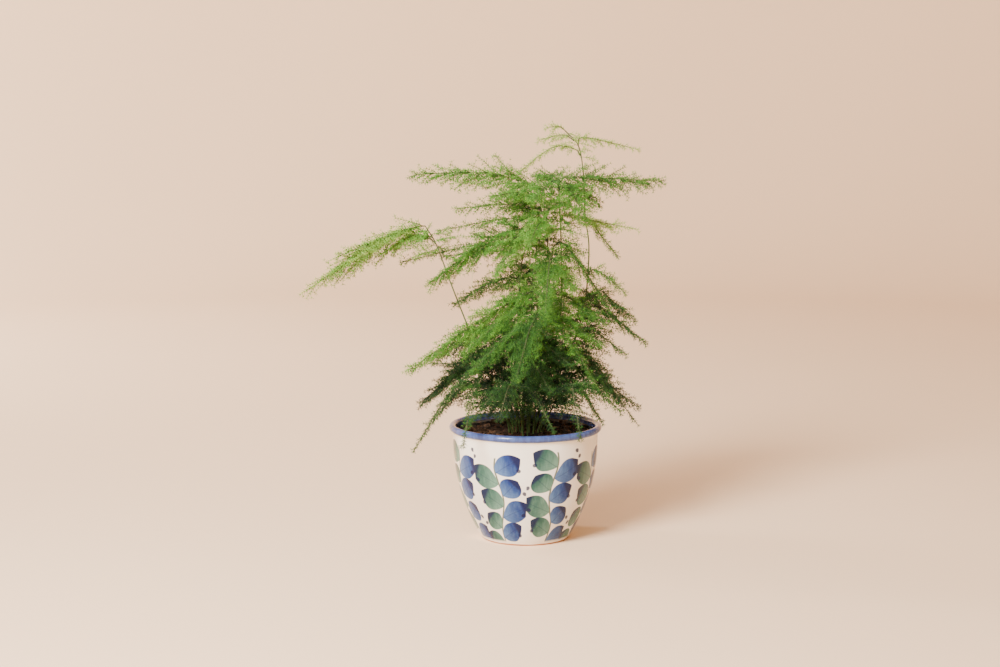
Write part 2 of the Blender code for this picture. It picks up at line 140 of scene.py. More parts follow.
STEMS = (
    Stem("stem_left_reaching", (-12, -4),
         ((-22, -8, 140), (-42, -10, 180), (-57, -9, 215), (-75, -4, 260), (-90, 0, 300),
          (-99, 0, 316)),
         (Frond(1.0, (-219, -20, 257), 13, 62, 0.62, 20, 35),
          Frond(0.93, (-150, 34, 288), 12, 34, 0.56, 26, 10)),
         (Sprays(150, 216, 30, 0.2), Sprays(288, 318, 46, 0.54))),
    Stem("stem_fork", (4, -2),
         ((8, 0, 150), (18, 0, 200), (23, 0, 245), (22, 0, 300), (21, 0, 326)),
         (Frond(0.98, (-88, 12, 314), 8, 9, 0.5, 55, 0, 18),
          Frond(1.0, (-18, 42, 352), 6, 24, 0.46, 50, 0, 32),
          Frond(1.0, (34, -34, 346), 6, 20, 0.5, 50, -10, 32),
          Frond(0.95, (2, -62, 304), 14, 26, 0.55),
          Frond(0.9, (-36, -44, 300), 10, 26, 0.5, 50, 10),
          Frond(0.75, (46, -52, 262), 12, 28, 0.5, 50, 0, 36)),
         (Sprays(150, 212, 34, 0.2), Sprays(218, 286, 20, 0.52), Sprays(276, 326, 40, 0.46))),
    Stem("stem_upper_left", (-2, 9),
         ((0, 12, 150), (5, 12, 210), (10, 10, 280), (14, 8, 330), (17, 6, 352)),
         (Frond(1.0, (-111, 0, 372), 12, 36, 0.5, 42, -8, 46),
          Frond(0.99, (-30, -4, 390), -6, 12, 0.5, 45, 60),
          Frond(0.9, (-68, -14, 338), 10, 22, 0.48, 50, 15, 30),
          Frond(0.96, (-34, -46, 352), 8, 26, 0.5)),
         (Sprays(150, 205, 32, 0.18), Sprays(290, 352, 40, 0.46))),
    Stem("stem_mid_left", (-9, 5),
         ((-9, 12, 150), (-8, 18, 210), (-6, 20, 256), (-2, 16, 290), (8, 6, 312)),
         (Frond(1.0, (-92, -45, 268), 16, 40, 0.46, 46, 32, 52),
          Frond(0.9, (-127, 25, 281), 10, 9, 0.42, 50, 0, 12),
          Frond(0.85, (-85, 34, 286), 8, 14, 0.4),
          Frond(0.97, (-30, -60, 276), 12, 30, 0.52, 48, 20)),
         (Sprays(150, 215, 36, 0.2), Sprays(240, 312, 32, 0.47))),
    Stem("stem_upper_right", (10, 4),
         ((18, 3, 150), (30, 2, 200), (36, 0, 240), (36, 0, 296), (34, 0, 341), (33, 0, 362)),
         (Frond(1.0, (135, 0, 365), 5, 32, 0.44, 42, -6, 42),
          Frond(1.0, (12, 50, 366), 6, 26, 0.44),
          Frond(0.97, (58, -48, 332), 12, 28, 0.46, 50, 0, 36),
          Frond(0.86, (112, -6, 317), 4, 24, 0.72, 30, 20),
          Frond(0.99, (6, -50, 348), 8, 26, 0.46),
          Frond(0.98, (76, 42, 340), 8, 26, 0.4)),
         (Sprays(150, 215, 34, 0.22), Sprays(215, 246, 32, 0.42), Sprays(322, 362, 42, 0.44))),
    Stem("stem_tall_right", (16, -4),
         ((27, -2, 150), (48, 0, 200), (60, 0, 240), (64, 0, 296), (60, 0, 331), (58, 0, 372),
          (53, 0, 400), (42, 0, 413)),
         (Frond(1.0, (22, 2, 419), 4, 16, 0.72),
          Frond(0.92, (-9, 6, 372), 16, 12, 0.7),
          Frond(0.95, (112, 0, 397), 6, 13, 0.7),
          Frond(0.97, (14, 14, 406), 5, 15, 0.72),
          Frond(0.7, (94, 22, 288), 5, 13, 0.45),
          Frond(0.55, (98, -34, 256), 8, 18, 0.42)),
         (Sprays(160, 236, 36, 0.28), Sprays(388, 413, 15, 0.72))),
    Stem("stem_right_arching", (8, -9),
         ((12, -12, 160), (20, -15, 230), (25, -12, 280), (28, -10, 300)),
         (Frond(1.0, (84, -14, 238), 12, 24, 0.4, 45, 20),
          Frond(0.95, (18, -76, 240), 16, 30, 0.45)),
         (Sprays(140, 210, 36, 0.2), Sprays(215, 300, 28, 0.48))),
    Stem("stem_big_front_left", (-4, -9),
         ((0, -12, 160), (8, -12, 210), (12, -16, 240), (12, -21, 252)),
         (Frond(1.0, (-114, -55, 182), 8, 50, 0.5, 44, 24, 44),
          Frond(0.95, (78, -32, 226), 14, 36, 0.43, 48, 15),
          Frond(0.9, (-60, -72, 200), 12, 36, 0.46, 48, 10)),
         (Sprays(138, 200, 40, 0.18), Sprays(206, 252, 42, 0.43))),
    Stem("stem_front", (2, -15),
         ((6, -20, 150), (12, -26, 195), (15, -31, 222), (14, -38, 232)),
         (Frond(1.0, (-10, -98, 180), 14, 38, 0.34, 50, 0, 34),
          Frond(1.0, (66, -66, 172), 14, 22, 0.4, 45),
          Frond(0.95, (72, -42, 206), 10, 30, 0.46),
          Frond(0.9, (-52, -80, 184), 14, 34, 0.36, 48)),
         (Sprays(134, 190, 38, 0.2), Sprays(196, 232, 36, 0.42))),
    Stem("stem_right_trailing", (14, 7),
         ((30, 10, 160), (54, 12, 210), (64, 12, 236), (70, 12, 248)),
         (Frond(1.0, (110, 14, 224), 6, 14, 0.34, 45, 0, 26),
          Frond(0.9, (120, -2, 203), 8, 20, 0.32, 45, 0, 28),
          Frond(0.75, (100, -18, 192), 8, 20, 0.32, 45),
          Frond(0.95, (64, 80, 216), 14, 30, 0.32)),
         (Sprays(140, 190, 34, 0.22), Sprays(190, 248, 38, 0.32))),
    Stem("stem_back_mid", (2, 16),
         ((4, 26, 160), (6, 36, 220), (8, 44, 262)),
         (Frond(1.0, (6, 130, 236), 20, 42, 0.36),
          Frond(0.95, (-74, 84, 232), 16, 34, 0.36),
          Frond(0.8, (60, 96, 200), 12, 30, 0.3)),
         (Sprays(140, 262, 36, 0.3),)),
    Stem("stem_dark_middle", (-6, 0),
         ((-10, 0, 140), (-14, 2, 180), (-12, 4, 205)),
         (Frond(1.0, (-88, 6, 186), 14, 34, 0.2),
          Frond(0.9, (-64, -58, 170), 14, 34, 0.26, 50, 10),
          Frond(1.0, (-40, 74, 196), 14, 32, 0.2),
          Frond(0.85, (24, -74, 162), 14, 32, 0.24),
          Frond(0.95, (44, -56, 186), 12, 34, 0.26),
          Frond(0.8, (54, 44, 172), 14, 34, 0.2)),
         (Sprays(132, 205, 42, 0.16),)),
    Stem("stem_low_left", (-17, 1),
         ((-25, 0, 140), (-36, -2, 166), (-42, -4, 174)),
         (Frond(1.0, (-102, -20, 146), 12, 26, 0.18, 40, 20, 34),
          Frond(0.95, (-107, 22, 134), 14, 24, 0.16, 40, 0, 30),
          Frond(0.9, (-96, 52, 172), 6, 14, 0.2, 45))),
    Stem("stem_low_left_front", (-14, -12),
         ((-27, -23, 140), (-42, -35, 160), (-48, -40, 164)),
         (Frond(1.0, (-111, -58, 102), 20, 16, 0.3, 40),
          Frond(0.95, (-62, -90, 112), 20, 14, 0.32, 40),
          Frond(0.9, (-92, -36, 128), 14, 20, 0.22, 40))),
    Stem("stem_low_right", (19, 2),
         ((31, 3, 140), (46, 4, 164), (52, 4, 171)),
         (Frond(1.0, (114, 10, 134), 6, 26, 0.2, 40, 0, 34),
          Frond(0.95, (113, -26, 121), 18, 20, 0.24, 35),
          Frond(0.9, (96, 46, 138), 14, 24, 0.2, 45))),
    Stem("stem_low_right_front", (13, -14),
         ((24, -25, 140), (38, -38, 160), (44, -43, 164)),
         (Frond(1.0, (92, -66, 142), 12, 24, 0.3, 45),
          Frond(0.95, (52, -96, 120), 18, 16, 0.26, 45, 0, 8),
          Frond(0.9, (76, -34, 126), 14, 22, 0.28, 45))),
    Stem("stem_low_front", (-3, -21),
         ((-6, -34, 140), (-10, -50, 160), (-12, -56, 164)),
         (Frond(1.0, (-26, -104, 142), 12, 26, 0.22),
          Frond(0.95, (26, -86, 126), 16, 14, 0.26, 45, 0, 7),
          Frond(0.9, (-54, -78, 134), 12, 22, 0.26, 45))),
    Stem("stem_low_back_left", (-10, 13),
         ((-20, 26, 145), (-33, 42, 172), (-37, 48, 178)),
         (Frond(1.0, (-84, 82, 150), 14, 34, 0.18, 48),
          Frond(0.95, (-30, 112, 158), 14, 30, 0.22))),
    Stem("stem_low_back_right", (11, 15),
         ((22, 28, 145), (36, 42, 172), (40, 47, 178)),
         (Frond(1.0, (88, 74, 154), 14, 34, 0.2, 48),
          Frond(0.95, (36, 114, 160), 14, 30, 0.24))),
)
# The stems low in the bush and in its middle, whose dark tones are painted shade.
SHADED_STEMS = ("stem_dark_middle", "stem_low")

COLOUR = {"subtype": "COLOR", "size": 3, "min": 0, "max": 1}


class PotSettings(bpy.types.PropertyGroup):
    glaze: FloatVectorProperty(
        name="Glaze", description="Colour of the bare glaze",
        default=(0.79, 0.75, 0.675), **COLOUR)
    blue: FloatVectorProperty(
        name="Blue", description="Colour of the blue leaves",
        default=(0.004, 0.022, 0.125), **COLOUR)
    navy: FloatVectorProperty(
        name="Navy", description="Colour of the dark dabs and berries",
        default=(0.0012, 0.004, 0.040), **COLOUR)
    green: FloatVectorProperty(
        name="Green", description="Colour of the green leaves",
        default=(0.010, 0.058, 0.046), **COLOUR)
    sprigs: IntProperty(
        name="Sprigs", description="Painted sprigs round the pot, an even number",
        min=4, max=16, default=8)
    leaf_length: FloatProperty(
        name="Leaf Length", description="Length of a painted leaf",
        subtype="DISTANCE", default=0.0305)
    leaf_width: FloatProperty(
        name="Leaf Width", description="Width of a painted leaf",
        subtype="DISTANCE", default=0.0258)


class SoilSettings(bpy.types.PropertyGroup):
    chips: IntProperty(
        name="Chips", description="Number of bark chips on the soil", min=0, max=2000, default=700)
    chip_length: FloatProperty(
        name="Chip Length", description="Length of the longest bark chip",
        subtype="DISTANCE", default=0.009)
    # Near-black: the soil's own dark colour, made darker still as painted shade under the bush.
    earth: FloatVectorProperty(
        name="Earth", description="Colour of the damp soil",
        default=(0.0035, 0.0024, 0.0017), **COLOUR)
    bark: FloatVectorProperty(
        name="Bark", description="Colour of the lightest bark chips",
        default=(0.10, 0.048, 0.022), **COLOUR)


class FernSettings(bpy.types.PropertyGroup):
    needle_length: FloatProperty(
        name="Needle Length", description="Length of a needle in the middle of a branch",
        subtype="DISTANCE", default=0.0054)
    needle_width: FloatProperty(
        name="Needle Width", description="Width of a needle at its root",
        subtype="DISTANCE", default=0.00084)
    tuft_gap: FloatProperty(
        name="Tuft Gap", description="Distance between two tufts of needles",
        subtype="DISTANCE", default=0.0027)
    twig_gap: FloatProperty(
        name="Twig Gap", description="Distance between two twigs of a side branch",
        subtype="DISTANCE", default=0.0036)


class StageSettings(bpy.types.PropertyGroup):
    paper: FloatVectorProperty(
        name="Paper", description="Colour of the floor and the backdrop",
        default=(0.86, 0.65, 0.455), **COLOUR)
    focal_length: FloatProperty(
        name="Focal Length", description="Focal length of the camera", subtype="DISTANCE_CAMERA",
        default=64.8)
    key_power: FloatProperty(
        name="Key Light", description="Power of the large soft light at the left",
        unit="POWER", default=165)
    wash_power: FloatProperty(
        name="Wash Light", description="Power of the light on the backdrop's left",
        unit="POWER", default=120)
    fill_power: FloatProperty(
        name="Fill Light", description="Power of the light above the camera",
        unit="POWER", default=20)


class Value:
    """A number in a node tree, on which Python's arithmetic adds Math nodes."""

    def __init__(self, finish, socket):
        self.finish = finish
        self.socket = socket

    def math(self, operation, *others):
        return self.finish.value("ShaderNodeMath", {"operation": operation}, (self, *others))

    def __rsub__(self, other):
        return self.finish.value("ShaderNodeMath", {"operation": "SUBTRACT"}, (other, self))

    __add__ = __radd__ = partialmethod(math, "ADD")
    __mul__ = __rmul__ = partialmethod(math, "MULTIPLY")
    __sub__ = partialmethod(math, "SUBTRACT")
    __pow__ = partialmethod(math, "POWER")
    __abs__ = partialmethod(math, "ABSOLUTE")
    floor = partialmethod(math, "FLOOR")
    sine = partialmethod(math, "SINE")
    at_least = partialmethod(math, "MAXIMUM")
    at_most = partialmethod(math, "MINIMUM")

    def rises(self, low, high):
        """0 below low, 1 above high, and a smooth step between them."""
        return self.finish.value("ShaderNodeMapRange", {"interpolation_type": "SMOOTHSTEP"},
                                 {"Value": self, "From Min": low, "From Max": high})


class Finish:
    """A material's node tree, with one method that adds any node."""

    def __init__(self, name):
        self.material = bpy.data.materials.new(name)
        self.material.use_nodes = True
        self.tree = self.material.node_tree
        self.shader = self.tree.nodes["Principled BSDF"]

    def node(self, kind, settings=None, values=()):
        """A node of a kind, with its settings made first, and then its sockets' values or links."""
        node = self.tree.nodes.new(kind)
        for name, setting in (settings or {}).items():
            if name == "stops":
                ramp = node.color_ramp
                while len(ramp.elements) < len(setting):
                    ramp.elements.new(1)
                for element, (place, colour) in zip(ramp.elements, setting):
                    element.position = place
                    element.color = (*colour, 1)
            else:
                setattr(node, name, setting)
        pairs = values.items() if isinstance(values, dict) else enumerate(values)
        for key, value in pairs:
            self.feed(node.inputs[key], value)
        return node

    def feed(self, socket, value):
        if isinstance(value, Value):
            self.tree.links.new(value.socket, socket)
        elif hasattr(socket.default_value, "__len__") and len(socket.default_value) == 4:
            socket.default_value = (*value, 1)
        else:
            socket.default_value = value

    def value(self, kind, settings=None, values=(), output=0):
        return Value(self, self.node(kind, settings, values).outputs[output])

    def mix(self, share, first, second):
        """A colour between two colours."""
        node = self.node("ShaderNodeMix", {"data_type": "RGBA"})
        for name, value in (("Factor", share), ("A", first), ("B", second)):
            kind = "VALUE" if name == "Factor" else "RGBA"
            socket = next(s for s in node.inputs if s.name == name and s.type == kind)
            self.feed(socket, value)
        return Value(self, next(s for s in node.outputs if s.type == "RGBA"))

    def place(self):
        """The x, y and z of a point on the piece, in mm."""
        point = self.value("ShaderNodeTexCoord", output="Object")
        parts = self.node("ShaderNodeSeparateXYZ", values=(point,))
        return tuple(Value(self, parts.outputs[axis]) * (1 / MM) for axis in "XYZ")

    def sheet_place(self):
        """The two coordinates of the piece's own map."""
        point = self.value("ShaderNodeUVMap", {"uv_map": "OFBake"})
        parts = self.node("ShaderNodeSeparateXYZ", values=(point,))
        return Value(self, parts.outputs["X"]), Value(self, parts.outputs["Y"])

    def grain(self, scale, detail=3.0, stretch=(1, 1, 1)):
        """Cloudy noise from 0 to 1, in patches of about 1 / scale metres."""
        point = self.value("ShaderNodeTexCoord", output="Object")
        turned = self.value("ShaderNodeMapping", values={"Vector": point, "Scale": stretch})
        return self.value("ShaderNodeTexNoise",
                          values={"Vector": turned, "Scale": scale, "Detail": detail})

    def bump(self, height, strength, distance):
        normal = self.value("ShaderNodeBump", values={
            "Height": height, "Strength": strength, "Distance": distance})
        self.set(Normal=normal)

    def set(self, **values):
        """Values or links for the shader's own sockets, whose spaces are written as underscores."""
        for name, value in values.items():
            self.feed(self.shader.inputs[name.replace("_", " ")], value)
        return self.material


# The painted leaf: its edge, midrib and ribs in mm, its dark tip and pale foot in shares
LEAF_ROUNDNESS = 0.8
LEAF_EDGE = (0.0, 0.7)
LEAF_TIP = (0.66, 0.8)
LEAF_FOOT = (0.05, 0.7)
MIDDLE_RIB = (0.25, 0.75)
RIB_GAP = 3.4
RIB_SLOPE = 0.9
RIB_WIDTH = (0.82, 1.0)


def painted_leaf(x, z, root, lean, length, width):
    """An almond leaf's mask, dark tip, ribs and pale foot at a place of the wall, from 0 to 1."""
    across, up = x - root[0], z - root[1]
    cosine, sine = math.cos(math.radians(lean)), math.sin(math.radians(lean))
    along = across * cosine + up * sine
    aside = abs(up * cosine - across * sine)
    share = along * (1 / length)
    half = (share * (1 - share) * 4).at_least(0) ** LEAF_ROUNDNESS * (width / 2)
    mask = (half - aside).rises(*LEAF_EDGE)
    tip = mask * share.rises(*LEAF_TIP)
    waves = ((along - aside * RIB_SLOPE) * (1 / RIB_GAP) * math.tau).sine()
    middle = 1 - aside.rises(*MIDDLE_RIB)
    ribs = mask * (waves.rises(*RIB_WIDTH) * 0.5).at_least(middle * 0.9)
    return mask, tip, ribs, mask * (1 - share.rises(*LEAF_FOOT))


def most(values):
    """The largest of several values in a node tree."""
    largest = values[0]
    for value in values[1:]:
        largest = largest.at_least(value)
    return largest


# The painted wall, in mm: where it fades out, and how its sprigs stand and sway
PAINT_FOOT, PAINT_TOP = (3.0, 6.0), (104.5, 106.5)
SPRIG_RADIUS = 68.0
SPRIG_SWAY, SWAY_HEIGHT = 3.4, 74
ODD_SPRIG_RISE = 6.0
STALK_EDGE, STALK_TOP = (0.65, 1.1), (100, 101)
LEAVES, FIRST_LEAF, LEAF_STEP, LEAF_OFFSET = 8, 2.0, 11.9, 0.6
RIGHT_LEAN, LEFT_LEAN = (28, 5), (152, -6)
BERRIES, FIRST_BERRY, BERRY_STEP, BERRY_ASIDE = 8, 18.0, 11.7, 22.6
BERRY_EDGE = (1.8, 2.4)

# The glazed lip, the dark brown inner wall above the soil and the bare clay foot, in mm
LIP_EDGE = (110.6, 111.4)
INNER_WALL = (LIP_RADIUS - LIP_THICKNESS - 1.2, LIP_RADIUS - LIP_THICKNESS - 0.6)
BROWN_BAND_FOOT, BROWN_BAND_TOP = (99.0, 102.0), (111.5, 113.5)
CLAY_EDGE = (1.0, 2.2)

STALK_PAINT = (0.045, 0.065, 0.03)
LIP_DARK, LIP_LIGHT, LIP_GREY_BACK = (0.012, 0.036, 0.17), (0.032, 0.080, 0.28), (0.42, 0.43, 0.45)
INNER_WALL_BROWN = (0.035, 0.026, 0.020)
BARE_CLAY = (0.42, 0.17, 0.075)


def glaze_finish(settings):
    """Cream glaze with swaying painted sprigs, a brushed blue lip and a bare clay foot."""
    finish = Finish("painted glaze")
    x, y, z = finish.place()
    wobble = finish.grain(45, 2.0)
    streak = finish.grain(260, 3.0, (1, 1, 0.35))
    cloud = finish.grain(30, 4.0)
    turn = y.math("ARCTAN2", x) * (settings.sprigs / math.tau)
    column = turn.floor()
    odd = column - (column * 0.5).floor() * 2
    sprig_width = math.tau * SPRIG_RADIUS / settings.sprigs
    aside = (turn - column - 0.5) * sprig_width * (1 - odd * 2) + (wobble - 0.5) * 3.0
    height = z + odd * ODD_SPRIG_RISE + (cloud - 0.5) * 2.0
    aside = aside - (height * (math.tau / SWAY_HEIGHT)).sine() * SPRIG_SWAY
    on_wall = z.rises(*PAINT_FOOT) * (1 - z.rises(*PAINT_TOP))
    stalk = (1 - abs(aside).rises(*STALK_EDGE)) * (1 - height.rises(*STALK_TOP))
    length, width = settings.leaf_length / MM, settings.leaf_width / MM
    masks, tips, veins, washes = ([], []), [], [], []
    for k in range(LEAVES):
        right = k % 2 == 0
        lean, more = RIGHT_LEAN if right else LEFT_LEAN
        lean += more * (k % 3)
        size = 1.0 - 0.09 * (k % 3)
        root = (LEAF_OFFSET if right else -LEAF_OFFSET, FIRST_LEAF + LEAF_STEP * k)
        mask, tip, vein, wash = painted_leaf(aside, height, root, lean, length * size, width * size)
        masks[k % 2].append(mask)
        tips.append(tip)
        veins.append(vein)
        washes.append(wash)
    berries = []
    for k in range(BERRIES):
        side = 1 if k % 2 else -1
        far, up = aside - side * BERRY_ASIDE, height - (FIRST_BERRY + BERRY_STEP * k)
        berries.append(1 - ((far * far + up * up) ** 0.5).rises(*BERRY_EDGE))
    pale_blue = tuple(c + 0.24 * k for c, k in zip(settings.blue, (0.4, 0.7, 1.0)))
    pale_green = tuple(c + 0.22 * k for c, k in zip(settings.green, (0.6, 0.95, 0.7)))
    brushed = most(washes) * 0.55 + streak.rises(0.35, 0.75) * 0.22 + cloud.rises(0.3, 0.7) * 0.1
    brushed = brushed.at_most(1)
    blue = finish.mix(brushed, tuple(settings.blue), pale_blue)
    green = finish.mix(brushed, tuple(settings.green), pale_green)
    first, second = finish.mix(odd, blue, green), finish.mix(odd, green, blue)
    mottled = finish.mix(cloud.rises(0.35, 0.7), tuple(settings.glaze),
                         tuple(c * k for c, k in zip(settings.glaze, (0.96, 0.93, 0.9))))
    navy = tuple(settings.navy)
    colour = mottled
    layers = ((stalk * 0.9, STALK_PAINT), (most(masks[0]), first), (most(masks[1]), second),
              (most(tips) * 0.9, navy), (most(veins) * 0.35, navy), (most(berries) * 0.9, navy))
    for mask, paint in layers:
        colour = finish.mix(mask * on_wall, colour, paint)
    edge = z + (wobble - 0.5) * 1.8
    lip = edge.rises(*LIP_EDGE)
    # The lip is painted paler grey in patches that grow towards the back of the pot, where its
    # glaze is also rougher.
    greyer_back = (finish.grain(160, 5.0) + y * 0.0022).rises(0.62, 0.9)
    lip_blue = finish.mix(streak.rises(0.3, 0.75), LIP_DARK, LIP_LIGHT)
    lip_blue = finish.mix(greyer_back * 0.7, lip_blue, LIP_GREY_BACK)
    colour = finish.mix(lip * 0.96, colour, lip_blue)
    # The inner wall above the soil, up over the inner lip, is painted dark brown.
    inside = 1 - ((x * x + y * y) ** 0.5).rises(*INNER_WALL)
    inside = inside * z.rises(*BROWN_BAND_FOOT) * (1 - z.rises(*BROWN_BAND_TOP))
    colour = finish.mix(inside * (0.7 + cloud * 0.4).at_most(0.97), colour, INNER_WALL_BROWN)
    clay = 1 - edge.rises(*CLAY_EDGE)
    colour = finish.mix(clay, colour, BARE_CLAY)
    finish.bump(cloud * 0.6 + finish.grain(900, 2.0) * 0.1, 0.25, 0.0006)
    return finish.set(Base_Color=colour, Roughness=(clay * 0.6 + 0.13 + greyer_back * lip * 0.2),
                      Coat_Weight=0.2, Coat_Roughness=0.06, Specular_IOR_Level=0.2)


def earth_finish(settings):
    finish = Finish("damp earth")
    cloud = finish.grain(120, 6.0)
    grit = finish.grain(900, 4.0)
    # The earth colour is the soil's own dark colour, darkened further as painted shade under the
    # bush.
    dark = tuple(settings.earth)
    colour = finish.mix(cloud.rises(0.35, 0.7), dark, tuple(2.2 * c for c in dark))
    colour = finish.mix(grit.rises(0.62, 0.75) * 0.5, colour, tuple(settings.bark))
    finish.bump(grit + cloud * 2, 0.9, 0.0015)
    return finish.set(Base_Color=colour, Roughness=0.92, Specular_IOR_Level=0.15)


def bark_finish(settings):
    finish = Finish("bark chips")
    tone, _ = finish.sheet_place()
    fibre = finish.grain(700, 4.0, (1, 1, 3))
    dark = tuple(1.6 * c for c in settings.earth)
    light = tuple(settings.bark)
    middle = tuple(0.35 * a + 0.65 * b for a, b in zip(light, dark))
    pale = tuple(1.4 * c + 0.03 for c in light)
    stops = ((0.0, dark), (0.45, middle), (0.8, light), (1.0, pale))
    colour = finish.value("ShaderNodeValToRGB", {"stops": stops}, (tone,))
    colour = finish.mix(fibre.rises(0.4, 0.7) * 0.6, colour, dark)
    finish.bump(fibre, 0.8, 0.0008)
    return finish.set(Base_Color=colour, Roughness=0.85, Specular_IOR_Level=0.2)


# Greens by tone: the near-black greens of the low tones are painted shade inside and under the
# bush.
LEAF_GREENS = ((0.0, (0.003, 0.011, 0.005)), (0.2, (0.008, 0.031, 0.010)),
               (0.4, (0.039, 0.132, 0.022)), (0.6, (0.115, 0.315, 0.036)),
               (0.8, (0.31, 0.47, 0.09)), (1.0, (0.48, 0.56, 0.20)))
WOOD_BROWNS = ((0.0, (0.05, 0.10, 0.025)), (0.5, (0.055, 0.09, 0.03)), (1.0, (0.075, 0.075, 0.04)))
NEEDLE_TIP = (0.36, 0.54, 0.09)
WOOD_AGE = 0.3


def foliage_finish(name):
    """Green from a point's tone and age: wood up to a low age, then needles from root to tip."""
    finish = Finish(name)
    tone, age = finish.sheet_place()
    wood = finish.value("ShaderNodeValToRGB", {"stops": WOOD_BROWNS}, (age * (1 / WOOD_AGE),))
    leaf = finish.value("ShaderNodeValToRGB", {"stops": LEAF_GREENS}, (tone,))
    # Lighter needle tips, left out of the darkest tones so that the painted shade inside the bush
    # stays dark.
    bright = age.rises(0.7, 1.0) * tone.rises(0.1, 0.6) * 0.25
    tip = finish.mix(bright, leaf, NEEDLE_TIP)
    colour = finish.mix(age.rises(WOOD_AGE, WOOD_AGE + 0.1), wood, tip)
    return finish.set(Base_Color=colour, Roughness=(0.62 - age * 0.12), Specular_IOR_Level=0.25)


def thread_finish():
    finish = Finish("dry thread")
    colour = finish.mix(finish.grain(300).rises(0.3, 0.7), (0.66, 0.60, 0.34), (0.48, 0.40, 0.20))
    return finish.set(Base_Color=colour, Roughness=0.7)


def paper_finish(settings):
    finish = Finish("studio paper")
    cloud = finish.grain(0.8, 2.0)
    pale = tuple(settings.paper)
    colour = finish.mix(cloud.rises(0.3, 0.7), pale, tuple(0.97 * c for c in pale))
    return finish.set(Base_Color=colour, Roughness=0.95, Specular_IOR_Level=0.1)


def smooth_route(points, step):
    """Points about a step apart on one smooth curve through the given ones."""
    knots = [Vector(p) for p in points]
    padded = [2 * knots[0] - knots[1]] + knots + [2 * knots[-1] - knots[-2]]
    route = []
    for i in range(len(knots) - 1):
        before, here, after, beyond = padded[i:i + 4]
        count = max(1, round((after - here).length / step))
        for k in range(count):
            t = k / count
            route.append(0.5 * (2 * here + (after - before) * t
                                + (2 * before - 5 * here + 4 * after - beyond) * t ** 2
                                + (3 * here - before - 3 * after + beyond) * t ** 3))
    return route + [knots[-1]]


def point_along(route, share):
    """The point and the direction at a share of a route's length."""
    lengths = [(b - a).length for a, b in zip(route, route[1:])]
    left = share * sum(lengths)
    for a, b, length in zip(route, route[1:], lengths):
        if left <= length:
            return a.lerp(b, left / length), (b - a).normalized()
        left -= length
    return route[-1], (route[-1] - route[-2]).normalized()


class Space:
    """The rods grown so far, each with its stem, which other stems keep clear of."""

    def __init__(self):
        self.rods = []
        self.owners = []

    def add(self, owner, route, radius):
        for a, b in zip(route, route[1:]):
            self.rods.append((*a, *b, radius))
            self.owners.append(owner)

    def is_clear(self, owner, route, radius):
        """Whether a rod along the route keeps its clearance to all other stems."""
        others = np.array([rod for rod, name in zip(self.rods, self.owners) if name != owner])
        if not len(others):
            return True
        start, end, thick = others[:, 0:3], others[:, 3:6], others[:, 6]
        along = end - start
        size = (along ** 2).sum(axis=1)
        for a, b in zip(route, route[1:]):
            for k in range(int((b - a).length) + 2):
                spot = np.array(a.lerp(b, k / (int((b - a).length) + 1)))
                share = np.clip(((spot - start) * along).sum(axis=1) / size, 0, 1)
                away = np.linalg.norm(start + along * share[:, None] - spot, axis=1)
                if (away < radius + thick + CLEARANCE).any():
                    return False
        return True


def clears_pot(route, room):
    """Whether a route keeps out of the soil and of the pot's wall and lip."""
    for a, b in zip(route, route[1:]):
        for k in range(5):
            spot = a.lerp(b, k / 4)
            out = math.hypot(spot.x, spot.y)
            if spot.z > POT_HEIGHT + room:
                continue
            if out < LIP_RADIUS + room and (out > LIP_RADIUS - LIP_THICKNESS - room
                                            or spot.z < SOIL_TOP + SOIL_RELIEF + room):
                return False
    return True


def grow_cane(stem, space):
    """The knots and the coarse route of a stem's cane, as the solids have them."""
    x, y = stem.foot
    foot = [(x, y, SOIL_TOP - STEM_DEPTH), (x, y, SOIL_TOP + 6)]
    for sideways in SHIFTS:
        for deep in SHIFTS:
            moved = [(px + sideways * min(1, k), py + deep * min(1, k), pz)
                     for k, (px, py, pz) in enumerate(stem.through, 1)]
            route = smooth_route(foot + moved, CANE_STEP)
            if space.is_clear(stem.name, route, CANE_FOOT):
                space.add(stem.name, route, CANE_FOOT)
                return foot + moved, route
    raise ValueError(f"{stem.name} finds no room for its cane")


def grow_midrib(stem, frond, cane, space):
    """The knots of a frond's midrib, as the solids have them."""
    start, ahead = point_along(cane, frond.leaves)
    tip = Vector(frond.tip)
    aside = Vector((tip.y - start.y, start.x - tip.x, 0)).normalized()
    for rise in SHIFTS:
        for sideways in SHIFTS:
            arch = Vector((0, 0, frond.arch + rise))
            middle = start.lerp(tip, ARCH_PLACE) + arch + aside * sideways
            lead = (ahead + (middle - start).normalized()).normalized() * MIDRIB_LEAD
            route = smooth_route((start, start + lead, middle, tip), MIDRIB_STEP)
            if space.is_clear(stem.name, route, MIDRIB_FOOT) and clears_pot(route, POT_ROOM):
                space.add(stem.name, route, MIDRIB_FOOT)
                return start, start + lead, middle, tip
    raise ValueError(f"{stem.name} finds no room for a midrib to {frond.tip}")


def branch_reach(share):
    """How long a side branch is at a share of the midrib, as a part of the longest."""
    opening = min(1.0, REACH_FOOT + share / REACH_OPENS)
    return opening * (1.0 - REACH_LOSS * share ** REACH_POWER)


# The fine stems, in mm
FINE_STEP = 3.0
CANE_SIDES = 8
FINE_CANE = (CANE_FOOT * 0.8, CANE_TOP * 0.65)
MIDRIB_THICK, MIDRIB_THIN, MIDRIB_SIDES = 0.62, 0.26, 5
BRANCH_THICK, BRANCH_THIN, BRANCH_SIDES = 0.26, 0.12, 3
TWIG_RADIUS = 0.13
SHORTEST_BRANCH, BRANCH_STEP = 3.0, 7
CLOSE_SPREAD = 35
